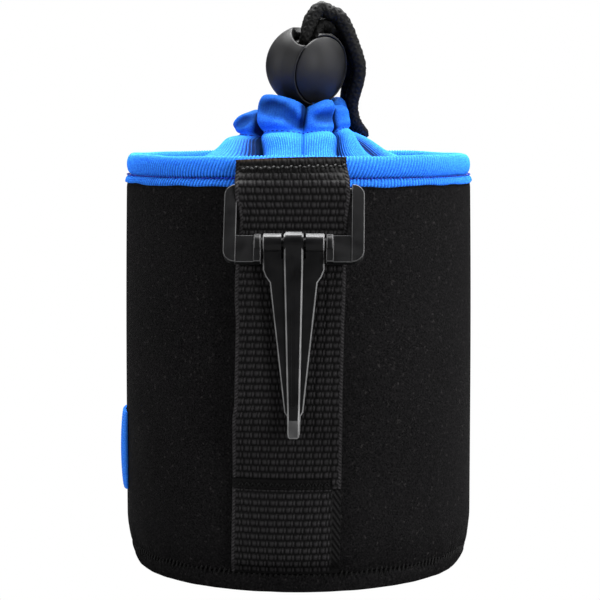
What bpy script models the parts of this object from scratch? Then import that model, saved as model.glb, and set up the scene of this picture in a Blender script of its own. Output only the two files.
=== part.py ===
"""A drawstring pouch for a camera lens, with a belt loop that carries a hanging belt clip.

Metres, +Z up. The origin is the centre of the base's underside. The belt loop is at -Y.
"""

from math import acos, cos, pi, radians, sin, sqrt

import bmesh
import bpy
from mathutils import Matrix, Vector

MM = 0.001
GAP = 0.3 * MM

# Body: a neoprene tube on a dished base
WALL_RADIUS = 42.0 * MM
WALL_BULGE = 0.6 * MM
BULGE_HEIGHT = 22.0 * MM
WALL_THICKNESS = 3.5 * MM
WALL_TOP = 93.3 * MM
BASE_TOP = 6.6 * MM
BASE_THICKNESS = 3.8 * MM
BASE_RADIUS = 37.5 * MM
LINING_THICKNESS = 0.8 * MM
AROUND = 40

# Collar: a padded roll over a narrow hem
ROLL_BOTTOM = 93.7 * MM
ROLL_TOP = 98.1 * MM
ROLL_RADIUS = 42.4 * MM
HEM_BOTTOM = 92.3 * MM
HEM_TOP = 93.4 * MM
HEM_THICKNESS = 0.6 * MM

# Hood: gathered from the collar to a neck that lies a little off the pouch's axis
HOOD_RADIUS = 36.8 * MM
NECK_CENTRE = Vector((0.6 * MM, -2.0 * MM))
NECK_RADIUS = 10.4 * MM
HOOD_AROUND = 24
CHANNEL_RADIUS = 7.85 * MM
CHANNEL_HEIGHT = 106.2 * MM
CORD_RADIUS = 1.3 * MM

# Webbing strap, with a slight lean to the left towards the foot
STRAP_WIDTH = 24.8 * MM
STRAP_THICKNESS = 1.3 * MM
STRAP_FOOT = 7.5 * MM
STRAP_TOP = 98.2 * MM
STRAP_TOP_X = 0.7 * MM
STRAP_LEAN = radians(1.25)
STRAP_FLAT_BACK = 44.5 * MM
THREAD_RADIUS = 0.3 * MM

# Clip frame and belt clip, which hinges on the frame's lower bar
FRAME_X = 0.55 * MM
TOP_BAR = Vector((FRAME_X, -43.35 * MM, 91.0 * MM))
HINGE = Vector((FRAME_X, -48.35 * MM, 79.9 * MM))
FRAME_HALF_WIDTH = 15.6 * MM
WINDOW_HALF_WIDTH = 13.0 * MM
HINGE_HALF_WIDTH = 7.15 * MM
TOP_BAR_RADIUS = 0.85 * MM
HINGE_BAR_RADIUS = 1.2 * MM
KNUCKLE_RADIUS = 2.1 * MM
CLIP_HALF_WIDTH = 6.8 * MM
CLIP_LENGTH = 43.1 * MM

# Cord lock: a ball-shaped barrel whose plunger faces right, to the front and slightly down
LOCK_CENTRE = Vector((2.0 * MM, -2.0 * MM, 119.6 * MM))
LOCK_TURN = radians(-44.5)
LOCK_TIP = radians(12.0)
LOCK_RADIUS = 9.8 * MM
LOCK_RIM = 5.2 * MM
PLUNGER_TRAVEL = 3.0 * MM
CORD_HOLE_RADIUS = 3.5 * MM
STRAND_OFFSET = 1.6 * MM
LOCK_AROUND = 28

# Side tab, folded and sewn at the left side seam
TAB_BOTTOM = 16.9 * MM
TAB_TOP = 36.3 * MM
TAB_THICKNESS = 1.5 * MM
TAB_ANGLES = (radians(-3.0), radians(15.0))


def clear_scene():
    for obj in list(bpy.data.objects):
        bpy.data.objects.remove(obj)


def material(name, colour, roughness, metallic=0.0):
    made = bpy.data.materials.new(name)
    made.use_nodes = True
    shader = made.node_tree.nodes["Principled BSDF"]
    shader.inputs["Base Color"].default_value = (*colour, 1.0)
    shader.inputs["Roughness"].default_value = roughness
    shader.inputs["Metallic"].default_value = metallic
    return made


def add_object(name, mesh, finish, parent=None):
    obj = bpy.data.objects.new(name, mesh)
    mesh.materials.append(finish)
    mesh.shade_smooth()
    mesh.set_sharp_from_angle(angle=radians(40))
    bpy.context.scene.collection.objects.link(obj)
    obj.parent = parent
    return obj


def add_empty(name, location, turn=Matrix.Identity(4)):
    empty = bpy.data.objects.new(name, None)
    empty.empty_display_size = 5 * MM
    empty.matrix_world = Matrix.Translation(location) @ turn
    bpy.context.scene.collection.objects.link(empty)
    return empty


def mesh_from(name, points, faces):
    """A mesh with its normals turned outwards."""
    bm = bmesh.new()
    corners = [bm.verts.new(point) for point in points]
    for face in faces:
        bm.faces.new([corners[i] for i in face])
    return finish_mesh(name, bm)


def finish_mesh(name, bm):
    bmesh.ops.recalc_face_normals(bm, faces=bm.faces)
    mesh = bpy.data.meshes.new(name)
    bm.to_mesh(mesh)
    bm.free()
    return mesh


def loop_mesh(name, rings):
    """A solid ring: closed sections, each joined to the next and the last to the first."""
    count, width = len(rings), len(rings[0])
    points = [point for ring in rings for point in ring]
    faces = [
        (
            i * width + j,
            i * width + (j + 1) % width,
            (i + 1) % count * width + (j + 1) % width,
            (i + 1) % count * width + j,
        )
        for i in range(count)
        for j in range(width)
    ]
    return mesh_from(name, points, faces)


def column_mesh(name, rings):
    """A solid column: closed sections joined in a row, with a face across each end."""
    width = len(rings[0])
    points = [point for ring in rings for point in ring]
    faces = [
        (i * width + j, i * width + (j + 1) % width, (i + 1) * width + (j + 1) % width, (i + 1) * width + j)
        for i in range(len(rings) - 1)
        for j in range(width)
    ]
    faces.append(tuple(range(width)))
    faces.append(tuple((len(rings) - 1) * width + j for j in range(width)))
    return mesh_from(name, points, faces)


def turned_ring(name, profile, around=AROUND):
    """A ring turned about Z from a closed profile of (radius, height)."""
    angles = [2 * pi * i / around for i in range(around)]
    return loop_mesh(name, [[(r * cos(a), r * sin(a), z) for r, z in profile] for a in angles])


def turned_about_x(name, profile, around=LOCK_AROUND):
    """A solid turned about X from an open profile of (along, radius) whose ends lie on the axis."""
    angles = [2 * pi * i / around for i in range(around)]
    inner = profile[1:-1]
    points = [(x, r * cos(a), r * sin(a)) for a in angles for x, r in inner]
    points += [(profile[0][0], 0, 0), (profile[-1][0], 0, 0)]
    width, first, last = len(inner), len(points) - 2, len(points) - 1
    faces = []
    for i in range(around):
        here, there = i * width, (i + 1) % around * width
        faces += [(here + j, here + j + 1, there + j + 1, there + j) for j in range(width - 1)]
        faces.append((here, there, first))
        faces.append((here + width - 1, there + width - 1, last))
    return mesh_from(name, points, faces)


def box_mesh(name, low, high):
    bm = bmesh.new()
    centre, size = (Vector(low) + Vector(high)) / 2, Vector(high) - Vector(low)
    placed = Matrix.Translation(centre) @ Matrix.Diagonal((*size, 1))
    bmesh.ops.create_cube(bm, size=1, matrix=placed)
    return finish_mesh(name, bm)


def rod_mesh(name, start, end, radius, sides=24):
    """A round bar between two points."""
    bm = bmesh.new()
    along = Vector(end) - Vector(start)
    turn = Vector((0, 0, 1)).rotation_difference(along).to_matrix().to_4x4()
    placed = Matrix.Translation((Vector(start) + Vector(end)) / 2) @ turn
    bmesh.ops.create_cone(
        bm, cap_ends=True, segments=sides, radius1=radius, radius2=radius, depth=along.length, matrix=placed
    )
    return finish_mesh(name, bm)


def plate_mesh(name, outline, low, high):
    """A plate in the XZ plane, from a closed outline of (x, z), between two values of Y."""
    return column_mesh(name, [[(x, y, z) for x, z in outline] for y in (low, high)])


def tube_mesh(name, path, radius, sides=8, closed=False):
    """A round tube along a path, its sections turned with the path and not twisted."""
    count = len(path)
    rings, normal = [], None
    for i, point in enumerate(path):
        before = path[i - 1] if closed or i > 0 else point
        after = path[(i + 1) % count] if closed or i < count - 1 else point
        along = (after - before).normalized()
        if normal is None:
            normal = along.orthogonal().normalized()
        normal = (normal - along * normal.dot(along)).normalized()
        side = along.cross(normal)
        turns = [2 * pi * j / sides for j in range(sides)]
        rings.append([point + radius * (cos(t) * normal + sin(t) * side) for t in turns])
    return loop_mesh(name, rings) if closed else column_mesh(name, rings)


def smooth_path(knots, steps):
    """Catmull-Rom points through the knots."""
    ends = [2 * knots[0] - knots[1], *knots, 2 * knots[-1] - knots[-2]]
    path = []
    for a, b, c, d in zip(ends, ends[1:], ends[2:], ends[3:]):
        for i in range(steps):
            t = i / steps
            path.append(
                0.5 * (2 * b + (c - a) * t + (2 * a - 5 * b + 4 * c - d) * t**2 + (3 * b - a - 3 * c + d) * t**3)
            )
    path.append(knots[-1])
    return path


def add_cutter(name, mesh, parent=None):
    cutter = bpy.data.objects.new(name, mesh)
    bpy.context.scene.collection.objects.link(cutter)
    cutter.parent = parent
    cutter.hide_render = True
    cutter.display_type = "WIRE"
    return cutter


def add_boolean(obj, other, operation):
    modifier = obj.modifiers.new(f"{operation.lower()}_{other.name}", "BOOLEAN")
    modifier.operation = operation
    modifier.object = other


def arc(centre, radius, start, end, steps):
    """Points of an arc, as (x, z), from one angle to another."""
    angles = [start + (end - start) * i / steps for i in range(steps + 1)]
    return [(centre[0] + radius * cos(a), centre[1] + radius * sin(a)) for a in angles]


def wall_radius(z):
    """The wall's outer radius, which swells low down and draws in towards the base seam."""
    bulge = WALL_BULGE * max(0.0, 1 - ((z - BULGE_HEIGHT) / (30 * MM)) ** 2) if z > BULGE_HEIGHT else WALL_BULGE
    foot = 1.0 * MM * max(0.0, 1 - z / BULGE_HEIGHT) ** 2
    return WALL_RADIUS + bulge - 1.6 * foot


def add_body(neoprene, lining):
    heights = [BASE_TOP + GAP + (WALL_TOP - BASE_TOP - GAP) * i / 12 for i in range(12)]
    inner = WALL_RADIUS - WALL_THICKNESS
    outer = [(wall_radius(z), z) for z in heights]
    crown = [
        (WALL_RADIUS - 0.1 * MM, WALL_TOP - 0.9 * MM),
        (WALL_RADIUS - 0.7 * MM, WALL_TOP),
        (inner + 0.3 * MM, WALL_TOP),
    ]
    wall = [*outer, *crown, (inner, WALL_TOP - 1.0 * MM), (inner, heights[0])]
    add_object("body_wall", turned_ring("body_wall", wall), neoprene)

    lining_outer = inner - GAP
    lining_inner = lining_outer - LINING_THICKNESS
    low, high = BASE_THICKNESS + LINING_THICKNESS + 3 * GAP, ROLL_TOP - 1.2 * MM
    section = [(lining_outer, low), (lining_outer, high), (lining_inner, high), (lining_inner, low)]
    add_object("body_lining", turned_ring("body_lining", section), lining)


def add_base(neoprene, lining):
    seam_radius = wall_radius(BASE_TOP) - 0.1 * MM
    dish = [
        (0, 0),
        (BASE_RADIUS, 0),
        (BASE_RADIUS + 1.6 * MM, 0.8 * MM),
        (seam_radius - 0.8 * MM, 3.0 * MM),
        (seam_radius, 5.2 * MM),
        (seam_radius, BASE_TOP),
        (seam_radius - WALL_THICKNESS + 0.6 * MM, BASE_TOP),
        (seam_radius - WALL_THICKNESS, BASE_THICKNESS),
        (0, BASE_THICKNESS),
    ]
    add_object("base_panel", turned_disc("base_panel", dish), neoprene)
    radius = WALL_RADIUS - WALL_THICKNESS - LINING_THICKNESS - 2 * GAP
    low = BASE_THICKNESS + GAP
    disc = [(0, low), (radius, low), (radius, low + LINING_THICKNESS), (0, low + LINING_THICKNESS)]
    add_object("base_lining", turned_disc("base_lining", disc), lining)


def turned_disc(name, profile):
    """A solid turned about Z from an open profile of (radius, height) whose ends lie on the axis."""
    mesh = turned_about_x(name, [(z, r) for r, z in profile], AROUND)
    mesh.transform(Matrix.Rotation(-pi / 2, 4, "Y"))
    return mesh


def add_collar(ribbed):
    middle = (ROLL_BOTTOM + ROLL_TOP) / 2
    inner = WALL_RADIUS - WALL_THICKNESS + 0.1 * MM
    half_width, half_height = (ROLL_RADIUS - inner) / 2, (ROLL_TOP - ROLL_BOTTOM) / 2
    angles = [2 * pi * i / 12 for i in range(12)]
    # a rounded square section, so that the roll fills its seam
    section = [
        (
            inner + half_width * (1 + abs(cos(a)) ** 0.7 * (1 if cos(a) > 0 else -1)),
            middle + half_height * abs(sin(a)) ** 0.7 * (1 if sin(a) > 0 else -1),
        )
        for a in angles
    ]
    add_object("collar_roll", turned_ring("collar_roll", section), ribbed)
    low_radius = WALL_RADIUS + GAP
    hem = [
        (low_radius, HEM_BOTTOM),
        (low_radius + HEM_THICKNESS, HEM_BOTTOM),
        (low_radius + HEM_THICKNESS, HEM_TOP),
        (low_radius, HEM_TOP),
    ]
    add_object("collar_hem", turned_ring("collar_hem", hem), ribbed)


def hood_centre(radius):
    """The hood's rings move from the pouch's axis at the collar to the neck's centre."""
    share = min(1.0, max(0.0, (HOOD_RADIUS - radius) / (HOOD_RADIUS - NECK_RADIUS)))
    return share * NECK_CENTRE


def add_hood(ribbed):
    """A skirt that rises to the neck, where it folds into a channel round the cord."""
    outside = [(36.8, 95.2), (33, 97.2), (26, 99.2), (19.5, 101.4), (14.5, 103.8), (11.4, 106.4), (10.4, 108.6)]
    lip = [(10.6, 111.0), (10.4, 112.4), (9.6, 112.4), (8.9, 110.6), (7.4, 109.3), (5.9, 108.9), (5.5, 108.2)]
    channel = [(5.5, 104.4), (6.2, 104.4), (6.2, 107.6), (6.8, 108.1), (8.6, 108.1), (9.4, 107.4)]
    inside = [(10.7, 105.2), (13.8, 102.9), (19, 100.5), (25.6, 98.3), (32.6, 96.3), (36.2, 94.6)]
    profile = [(r * MM, z * MM) for r, z in [*outside, *lip, *channel, *inside]]
    rings = []
    for i in range(HOOD_AROUND):
        a = 2 * pi * i / HOOD_AROUND
        centres = [hood_centre(r) for r, _ in profile]
        rings.append([(c.x + r * cos(a), c.y + r * sin(a), z) for c, (r, z) in zip(centres, profile)])
    add_object("drawstring_hood", loop_mesh("drawstring_hood", rings), ribbed)


def strap_x(z):
    return STRAP_TOP_X - (STRAP_TOP - z) * sin(STRAP_LEAN)


def strap_stations():
    """(height, distance of the back face from the axis, share of the wall's roundness)."""
    sewn = [(z, wall_radius(z) + GAP, 1.0) for z in (STRAP_FOOT, 14 * MM, 21 * MM, 27 * MM)]
    free = [(33 * MM, 43.4 * MM, 0.6), (39 * MM, 44.3 * MM, 0.15), (42 * MM, STRAP_FLAT_BACK, 0.0)]
    flat = [(66 * MM, STRAP_FLAT_BACK, 0.0), (92.2 * MM, STRAP_FLAT_BACK, 0.0)]
    top = [(94 * MM, 43.9 * MM, 0.5), (95.8 * MM, 43.0 * MM, 1.0), (STRAP_TOP, 42.8 * MM, 1.0)]
    return [*sewn, *free, *flat, *top]


def strap_point(across, z, back, roundness, out):
    """A point on the strap, out from its back face."""
    x = strap_x(z) + across
    drop = roundness * (back - sqrt(back**2 - x**2))
    return (x, -(back - drop + out), z)


def add_strap(webbing):
    columns = [STRAP_WIDTH * (i / 8 - 0.5) for i in range(9)]
    rings = []
    for z, back, roundness in strap_stations():
        behind = [strap_point(x, z, back, roundness, 0) for x in columns]
        front = [strap_point(x, z, back, roundness, STRAP_THICKNESS) for x in reversed(columns)]
        rings.append([*behind, *front])
    add_object("webbing_strap", column_mesh("webbing_strap", rings), webbing)


def add_strap_thread(name, height, back, thread):
    """One row of stitching across the strap's front, as a line of thread that dips between stitches."""
    out = STRAP_THICKNESS + GAP + THREAD_RADIUS
    columns = [STRAP_WIDTH * 0.94 * (i / 12 - 0.5) for i in range(13)]
    path = [Vector(strap_point(x, height, back, 1.0, out)) for x in columns]
    add_object(name, tube_mesh(name, path, THREAD_RADIUS, sides=6), thread)


def add_ring_thread(name, radius, height, thread, centre=Vector((0, 0))):
    angles = [2 * pi * i / AROUND for i in range(AROUND)]
    path = [Vector((centre.x + radius * cos(a), centre.y + radius * sin(a), height)) for a in angles]
    add_object(name, tube_mesh(name, path, THREAD_RADIUS / 2, sides=4, closed=True), thread)


def add_side_seam(thread):
    heights = [BASE_TOP + 3 * MM + 10 * MM * i for i in range(9)]
    radii = [wall_radius(z) + GAP + THREAD_RADIUS / 2 for z in heights]
    turn = TAB_ANGLES[0] - radians(1.5)
    path = [Vector((-r * cos(turn), -r * sin(turn), z)) for r, z in zip(radii, heights)]
    add_object("side_seam_thread", tube_mesh("side_seam_thread", path, THREAD_RADIUS / 2, sides=6), thread)


def add_side_tab(ribbed):
    """A folded tab on the wall, thickest halfway up."""
    heights = [TAB_BOTTOM + (TAB_TOP - TAB_BOTTOM) * i / 6 for i in range(7)]
    turns = [TAB_ANGLES[0] + (TAB_ANGLES[1] - TAB_ANGLES[0]) * i / 4 for i in range(5)]
    rings = []
    for i, z in enumerate(heights):
        swell = 0.55 + 0.45 * sin(pi * i / 6)
        inner, outer = wall_radius(z) + GAP, wall_radius(z) + GAP + TAB_THICKNESS * swell
        behind = [(-inner * cos(t), -inner * sin(t), z) for t in turns]
        front = [(-outer * cos(t), -outer * sin(t), z) for t in reversed(turns)]
        rings.append([*behind, *front])
    add_object("side_tab", column_mesh("side_tab", rings), ribbed)


def frame_side_outline(side):
    """One side of the frame: an upright bar with an inner foot, as (across, down)."""
    bottom, shoulder, top, corner = 16.4 * MM, 10.6 * MM, -1.3 * MM, 2.6 * MM
    low_corner = arc((FRAME_HALF_WIDTH - corner, bottom - corner), corner, pi / 2, 0, 4)
    high_corner = arc((FRAME_HALF_WIDTH - corner, top + corner), corner, 0, -pi / 2, 4)
    foot = [(HINGE_HALF_WIDTH, shoulder), (HINGE_HALF_WIDTH, bottom)]
    window = [(WINDOW_HALF_WIDTH, top), (WINDOW_HALF_WIDTH, shoulder)]
    outline = [*foot, *low_corner, *high_corner, *window]
    return [(side * x, -down) for x, down in outline]


def add_clip_frame(plastic):
    """Two upright sides joined by a bar behind the strap and a hinge bar in front of it."""
    down = HINGE - TOP_BAR
    lean = Matrix.Rotation(-acos(-down.z / down.length), 4, "X")
    rail = add_empty("clip_frame_rail", TOP_BAR, lean)
    half_depth = 1.25 * MM
    bodies = []
    for side, name in ((-1, "left"), (1, "right")):
        mesh = plate_mesh(f"frame_{name}", frame_side_outline(side), -half_depth, half_depth)
        bodies.append(mesh)
        start = (side * HINGE_HALF_WIDTH, 0, -down.length)
        end = (side * (HINGE_HALF_WIDTH + 1.5 * MM), 0, -down.length)
        bodies.append(rod_mesh(f"boss_{name}", start, end, 2.0 * MM))
    reach = WINDOW_HALF_WIDTH + 1.2 * MM
    bodies.append(rod_mesh("top_bar", (-reach, 0, 0), (reach, 0, 0), TOP_BAR_RADIUS, 16))
    reach = HINGE_HALF_WIDTH + 0.8 * MM
    bodies.append(rod_mesh("hinge_bar", (-reach, 0, -down.length), (reach, 0, -down.length), HINGE_BAR_RADIUS, 20))
    frame = add_object("clip_frame", bodies[0], plastic, rail)
    soften(frame, 0.35 * MM)
    for mesh in bodies[1:]:
        other = add_cutter(f"helper_{mesh.name}", mesh, rail)
        if mesh.name.startswith("frame"):
            soften(other, 0.35 * MM)
        add_boolean(frame, other, "UNION")


def soften(obj, width, segments=2):
    bevel = obj.modifiers.new("soften", "BEVEL")
    bevel.width = width
    bevel.segments = segments
    bevel.limit_method = "ANGLE"
    bevel.angle_limit = radians(50)


def clip_outline():
    """The tongue's front outline below its hinge, as (x, z): a root, shoulders and a long taper."""
    right = [
        (CLIP_HALF_WIDTH, -1.0 * MM),
        (CLIP_HALF_WIDTH, -5.8 * MM),
        (5.4 * MM, -7.9 * MM),
        (2.2 * MM, -37.2 * MM),
        (1.5 * MM, -38.2 * MM),
        (1.4 * MM, -CLIP_LENGTH + 0.8 * MM),
        (0.8 * MM, -CLIP_LENGTH),
    ]
    return [*right, *[(-x, z) for x, z in reversed(right)]]


def clip_rib_section():
    """The side view of the middle rib, as (y, z): proud of the tongue, with a tip that turns forward."""
    return [
        (-0.6, -2.4),
        (-1.9, -4.0),
        (-2.0, -30.0),
        (-2.3, -38.0),
        (-3.2, -41.6),
        (-3.0, -42.9),
        (-2.0, -42.7),
        (-0.6, -39.0),
        (0.4, -30.0),
        (0.4, -4.0),
    ]


def add_belt_clip(plastic):
    """The tongue, with three knuckles snapped on the hinge bar."""
    pivot = add_empty("clip_pivot", HINGE)
    front, back = -1.05 * MM, 1.05 * MM
    clip = add_object("belt_clip", plate_mesh("belt_clip", clip_outline(), front, back), plastic, pivot)
    soften(clip, 0.3 * MM, 1)
    rib = [[(x, y * MM, z * MM) for y, z in clip_rib_section()] for x in (-1.55 * MM, 1.55 * MM)]
    edge = CLIP_HALF_WIDTH
    middle, slot = 1.8 * MM, 0.6 * MM
    raised = 0.3 * MM
    joined = [
        column_mesh("rib", rib),
        rod_mesh("knuckles", (-edge, 0, 0), (edge, 0, 0), KNUCKLE_RADIUS),
        rod_mesh("middle_knuckle", (-middle, 0, raised), (middle, 0, raised), KNUCKLE_RADIUS + 0.02 * MM),
    ]
    for mesh in joined:
        other = add_cutter(f"helper_{mesh.name}", mesh, pivot)
        if mesh.name == "rib":
            soften(other, 0.35 * MM, 1)
        add_boolean(clip, other, "UNION")
    bore = rod_mesh("bore", (-2 * edge, 0, 0), (2 * edge, 0, 0), HINGE_BAR_RADIUS + GAP)
    add_boolean(clip, add_cutter("helper_bore", bore, pivot), "DIFFERENCE")
    for side, name in ((-1, "left"), (1, "right")):
        start, end = sorted((side * middle, side * (middle + slot)))
        mesh = box_mesh(f"slot_{name}", (start, -5 * MM, -5.4 * MM), (end, 5 * MM, 5 * MM))
        add_boolean(clip, add_cutter(f"helper_slot_{name}", mesh, pivot), "DIFFERENCE")


def barrel_profile():
    """The barrel's section, as (along, radius): a ball with an open end, stepped down inside for the spring."""
    back = [i * pi / 16 for i in range(10)]
    outer = [(-LOCK_RADIUS * cos(a), LOCK_RADIUS * sin(a)) for a in back]
    rim = [(3.6 * MM, 9.3 * MM), (LOCK_RIM, 8.95 * MM), (LOCK_RIM, 8.2 * MM)]
    bore = [(1.0 * MM, 8.2 * MM), (-0.6 * MM, 6.4 * MM), (-6.4 * MM, 6.4 * MM)]
    pocket = [(-6.4 * MM, 3.2 * MM), (-8.7 * MM, 3.2 * MM), (-8.7 * MM, 0)]
    return [*outer, *rim, *bore, *pocket]


def plunger_profile():
    """The plunger's section: a domed button on a stem that runs down the barrel."""
    button, stem = 7.85 * MM, 5.9 * MM
    rise, edge = 2.9 * MM, 5.5 * MM
    ball = (button**2 + rise**2) / (2 * rise)
    radii = [button * (1 - i / 7) for i in range(8)]
    dome = [(edge + rise - ball + sqrt(ball**2 - r**2), r) for r in radii]
    inner = [(-3.1 * MM, 0), (-3.1 * MM, stem), (4.5 * MM, stem), (4.9 * MM, button)]
    return [*inner, *dome]


def lock_turn():
    """From the lock's own axes, where X is its press axis and Z its cord hole, to the pouch's."""
    return Matrix.Rotation(LOCK_TURN, 4, "Z") @ Matrix.Rotation(LOCK_TIP, 4, "Y")


def add_cord_lock(plastic, steel):
    centre = add_empty("cord_lock_centre", LOCK_CENTRE, lock_turn())
    barrel = add_object("cord_lock_barrel", turned_about_x("barrel", barrel_profile()), plastic, centre)
    reach = 2 * LOCK_RADIUS
    hole = rod_mesh("cord_hole", (0, 0, -reach), (0, 0, reach), CORD_HOLE_RADIUS)
    add_boolean(barrel, add_cutter("helper_cord_hole", hole, centre), "DIFFERENCE")
    for side, name in ((-1, "lower"), (1, "upper")):
        bm = bmesh.new()
        placed = Matrix.Translation((0, 0, side * 12.6 * MM))
        bmesh.ops.create_uvsphere(bm, u_segments=24, v_segments=16, radius=6.2 * MM, matrix=placed)
        scoop = finish_mesh(f"scoop_{name}", bm)
        add_boolean(barrel, add_cutter(f"helper_scoop_{name}", scoop, centre), "DIFFERENCE")

    plunger = add_object("cord_lock_plunger", turned_about_x("plunger", plunger_profile()), plastic, centre)
    half_slot = CORD_RADIUS + 0.35 * MM
    low = (-half_slot, -STRAND_OFFSET - half_slot, -reach)
    high = (half_slot + PLUNGER_TRAVEL, STRAND_OFFSET + half_slot, reach)
    slot = box_mesh("cord_slot", low, high)
    add_boolean(plunger, add_cutter("helper_cord_slot", slot, centre), "DIFFERENCE")

    turns, steps, wire, coil = 3.5, 12, 0.25 * MM, 2.3 * MM
    start, end = -8.7 * MM + GAP + wire, -3.1 * MM - GAP - wire
    path = []
    for i in range(int(turns * steps) + 1):
        a = 2 * pi * i / steps
        along = start + (end - start) * i / (turns * steps)
        path.append(Vector((along, coil * cos(a), coil * sin(a))))
    add_object("cord_lock_spring", tube_mesh("cord_lock_spring", path, wire, sides=5), steel, centre)


def strand_point(side, height):
    """A strand's middle inside the cord lock, at this height along the cord hole."""
    return LOCK_CENTRE + lock_turn().to_3x3() @ Vector((0, side * STRAND_OFFSET, height * MM))


def channel_point(angle):
    return Vector(
        (
            NECK_CENTRE.x + CHANNEL_RADIUS * cos(angle),
            NECK_CENTRE.y + CHANNEL_RADIUS * sin(angle),
            CHANNEL_HEIGHT,
        )
    )


def strand_from_channel(side, angle):
    """From the channel, under its inner edge and up through the hood's mouth to the lock's top."""
    foot = strand_point(side, -12.6)
    start = channel_point(angle)
    inward = (foot - start).xy.to_3d()
    below = Vector((start.x, start.y, 103.4 * MM)) - 0.04 * inward
    under = Vector((start.x, start.y, 101.6 * MM)) + 0.5 * inward
    mouth = Vector((foot.x, foot.y, 103.4 * MM))
    rising = [strand_point(side, height) for height in (-12.6, -7.6, -2.6, 2.4, 7.0)]
    return [below, under, mouth, *rising]


def add_drawstring(braid):
    """One cord: over the top, down through the lock, round the channel and back the same way."""
    first_angle, last_angle = radians(22), radians(292)
    over_back = [
        (5.2, -1.0, 129.3),
        (7.6, 0.3, 130.0),
        (9.9, 2.1, 128.6),
        (11.5, 3.0, 125.2),
        (12.4, 3.6, 120.5),
        (12.2, 4.6, 116.5),
        (11.6, 6.2, 111.6),
        (11.9, 7.4, 108.3),
        (12.6, 8.9, 105.8),
        (12.0, 12.0, 104.3),
        (8.8, 13.6, 104.2),
    ]
    over_front = [
        (2.7, -3.6, 129.5),
        (4.1, -3.0, 132.0),
        (5.6, -2.4, 133.2),
        (7.5, -2.0, 132.4),
        (9.65, -1.5, 131.4),
        (11.2, -0.9, 129.2),
        (12.6, -0.3, 125.8),
        (14.4, 0.6, 120.3),
        (14.2, 1.6, 116.5),
        (12.9, 3.2, 111.6),
        (13.1, 4.4, 108.2),
        (13.9, 6.0, 105.7),
        (14.9, 9.4, 104.1),
        (15.4, 13.0, 103.1),
        (13.6, 16.5, 102.6),
    ]
    back = [Vector(p) * MM for p in over_back]
    front = [Vector(p) * MM for p in over_front]
    around = [channel_point(first_angle + (last_angle - first_angle) * i / 9) for i in range(10)]
    rising_back = strand_from_channel(1, first_angle)
    rising_front = strand_from_channel(-1, last_angle)
    knots = [*reversed(back), *reversed(rising_back), *around, *rising_front, *front]
    add_object("drawstring", tube_mesh("drawstring", smooth_path(knots, 3), CORD_RADIUS, sides=7), braid)


def build():
    clear_scene()
    neoprene = material("black_neoprene", (0.012, 0.012, 0.013), 0.85)
    ribbed = material("blue_jersey", (0.02, 0.17, 0.85), 0.7)
    lining = material("blue_lining", (0.015, 0.12, 0.7), 0.75)
    webbing = material("black_webbing", (0.012, 0.012, 0.013), 0.6)
    thread = material("black_thread", (0.02, 0.02, 0.022), 0.7)
    blue_thread = material("blue_thread", (0.01, 0.06, 0.4), 0.7)
    braid = material("black_braid", (0.01, 0.01, 0.01), 0.65)
    plastic = material("black_plastic", (0.02, 0.02, 0.022), 0.4)
    steel = material("spring_steel", (0.5, 0.5, 0.52), 0.3, 1.0)

    add_base(neoprene, lining)
    add_body(neoprene, lining)
    add_collar(ribbed)
    add_hood(ribbed)
    add_strap(webbing)
    add_strap_thread("strap_top_thread", 96.4 * MM, 43.0 * MM, thread)
    add_strap_thread("strap_foot_thread", 25 * MM, wall_radius(25 * MM) + GAP, thread)
    thread_gap = GAP + THREAD_RADIUS / 2
    add_ring_thread("collar_thread", ROLL_RADIUS + thread_gap, 93.9 * MM, blue_thread)
    add_ring_thread("base_thread", wall_radius(BASE_TOP) + thread_gap, BASE_TOP + GAP / 2, thread)
    add_ring_thread("channel_thread", 13.6 * MM + thread_gap, 104.6 * MM, blue_thread, NECK_CENTRE)
    add_side_seam(thread)
    add_side_tab(ribbed)
    add_clip_frame(plastic)
    add_belt_clip(plastic)
    add_cord_lock(plastic, steel)
    add_drawstring(braid)


build()
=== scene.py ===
"""Looks of the drawstring lens pouch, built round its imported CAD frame.

Sizes are in millimetres, and a mesh's points are scaled to metres when it is made.
Angles round the pouch start at the front (-Y) and grow towards +X, the right.
"""

from math import acos, cos, pi, radians, sin, sqrt

import bmesh
import bpy
import numpy as np
from mathutils import Matrix, Vector


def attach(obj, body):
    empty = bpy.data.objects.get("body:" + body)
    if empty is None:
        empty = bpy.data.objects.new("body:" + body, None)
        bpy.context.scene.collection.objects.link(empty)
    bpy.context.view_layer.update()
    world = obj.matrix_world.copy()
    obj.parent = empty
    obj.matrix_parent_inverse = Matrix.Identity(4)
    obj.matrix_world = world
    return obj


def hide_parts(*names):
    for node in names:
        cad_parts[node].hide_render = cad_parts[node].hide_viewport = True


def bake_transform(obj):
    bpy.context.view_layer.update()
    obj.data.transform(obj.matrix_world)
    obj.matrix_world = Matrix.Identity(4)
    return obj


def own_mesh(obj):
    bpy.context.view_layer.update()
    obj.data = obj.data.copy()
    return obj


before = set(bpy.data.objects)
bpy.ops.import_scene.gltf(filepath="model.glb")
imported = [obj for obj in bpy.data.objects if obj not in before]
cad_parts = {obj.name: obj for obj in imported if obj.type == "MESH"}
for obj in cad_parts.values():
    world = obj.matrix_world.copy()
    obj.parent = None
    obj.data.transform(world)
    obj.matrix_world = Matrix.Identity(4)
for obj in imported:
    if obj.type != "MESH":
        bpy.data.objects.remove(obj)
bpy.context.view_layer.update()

MM = 0.001

# Body
WALL_RADIUS = 42.0
WALL_THICKNESS = 3.5
WALL_TOP = 93.3
WALL_NARROWING = 0.4
FOOT_HEIGHT = 12.0
FOOT_PULL = 3.0
SHOULDER = 90.2
SHOULDER_PULL = 0.9
BASE_SEAM = 4.2
BASE_STITCHES = 206
SEAM_GAP = 0.06
SEAM_GROOVE = 0.2
BASE_THICKNESS = 3.8
LINING_THICKNESS = 0.8

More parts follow.
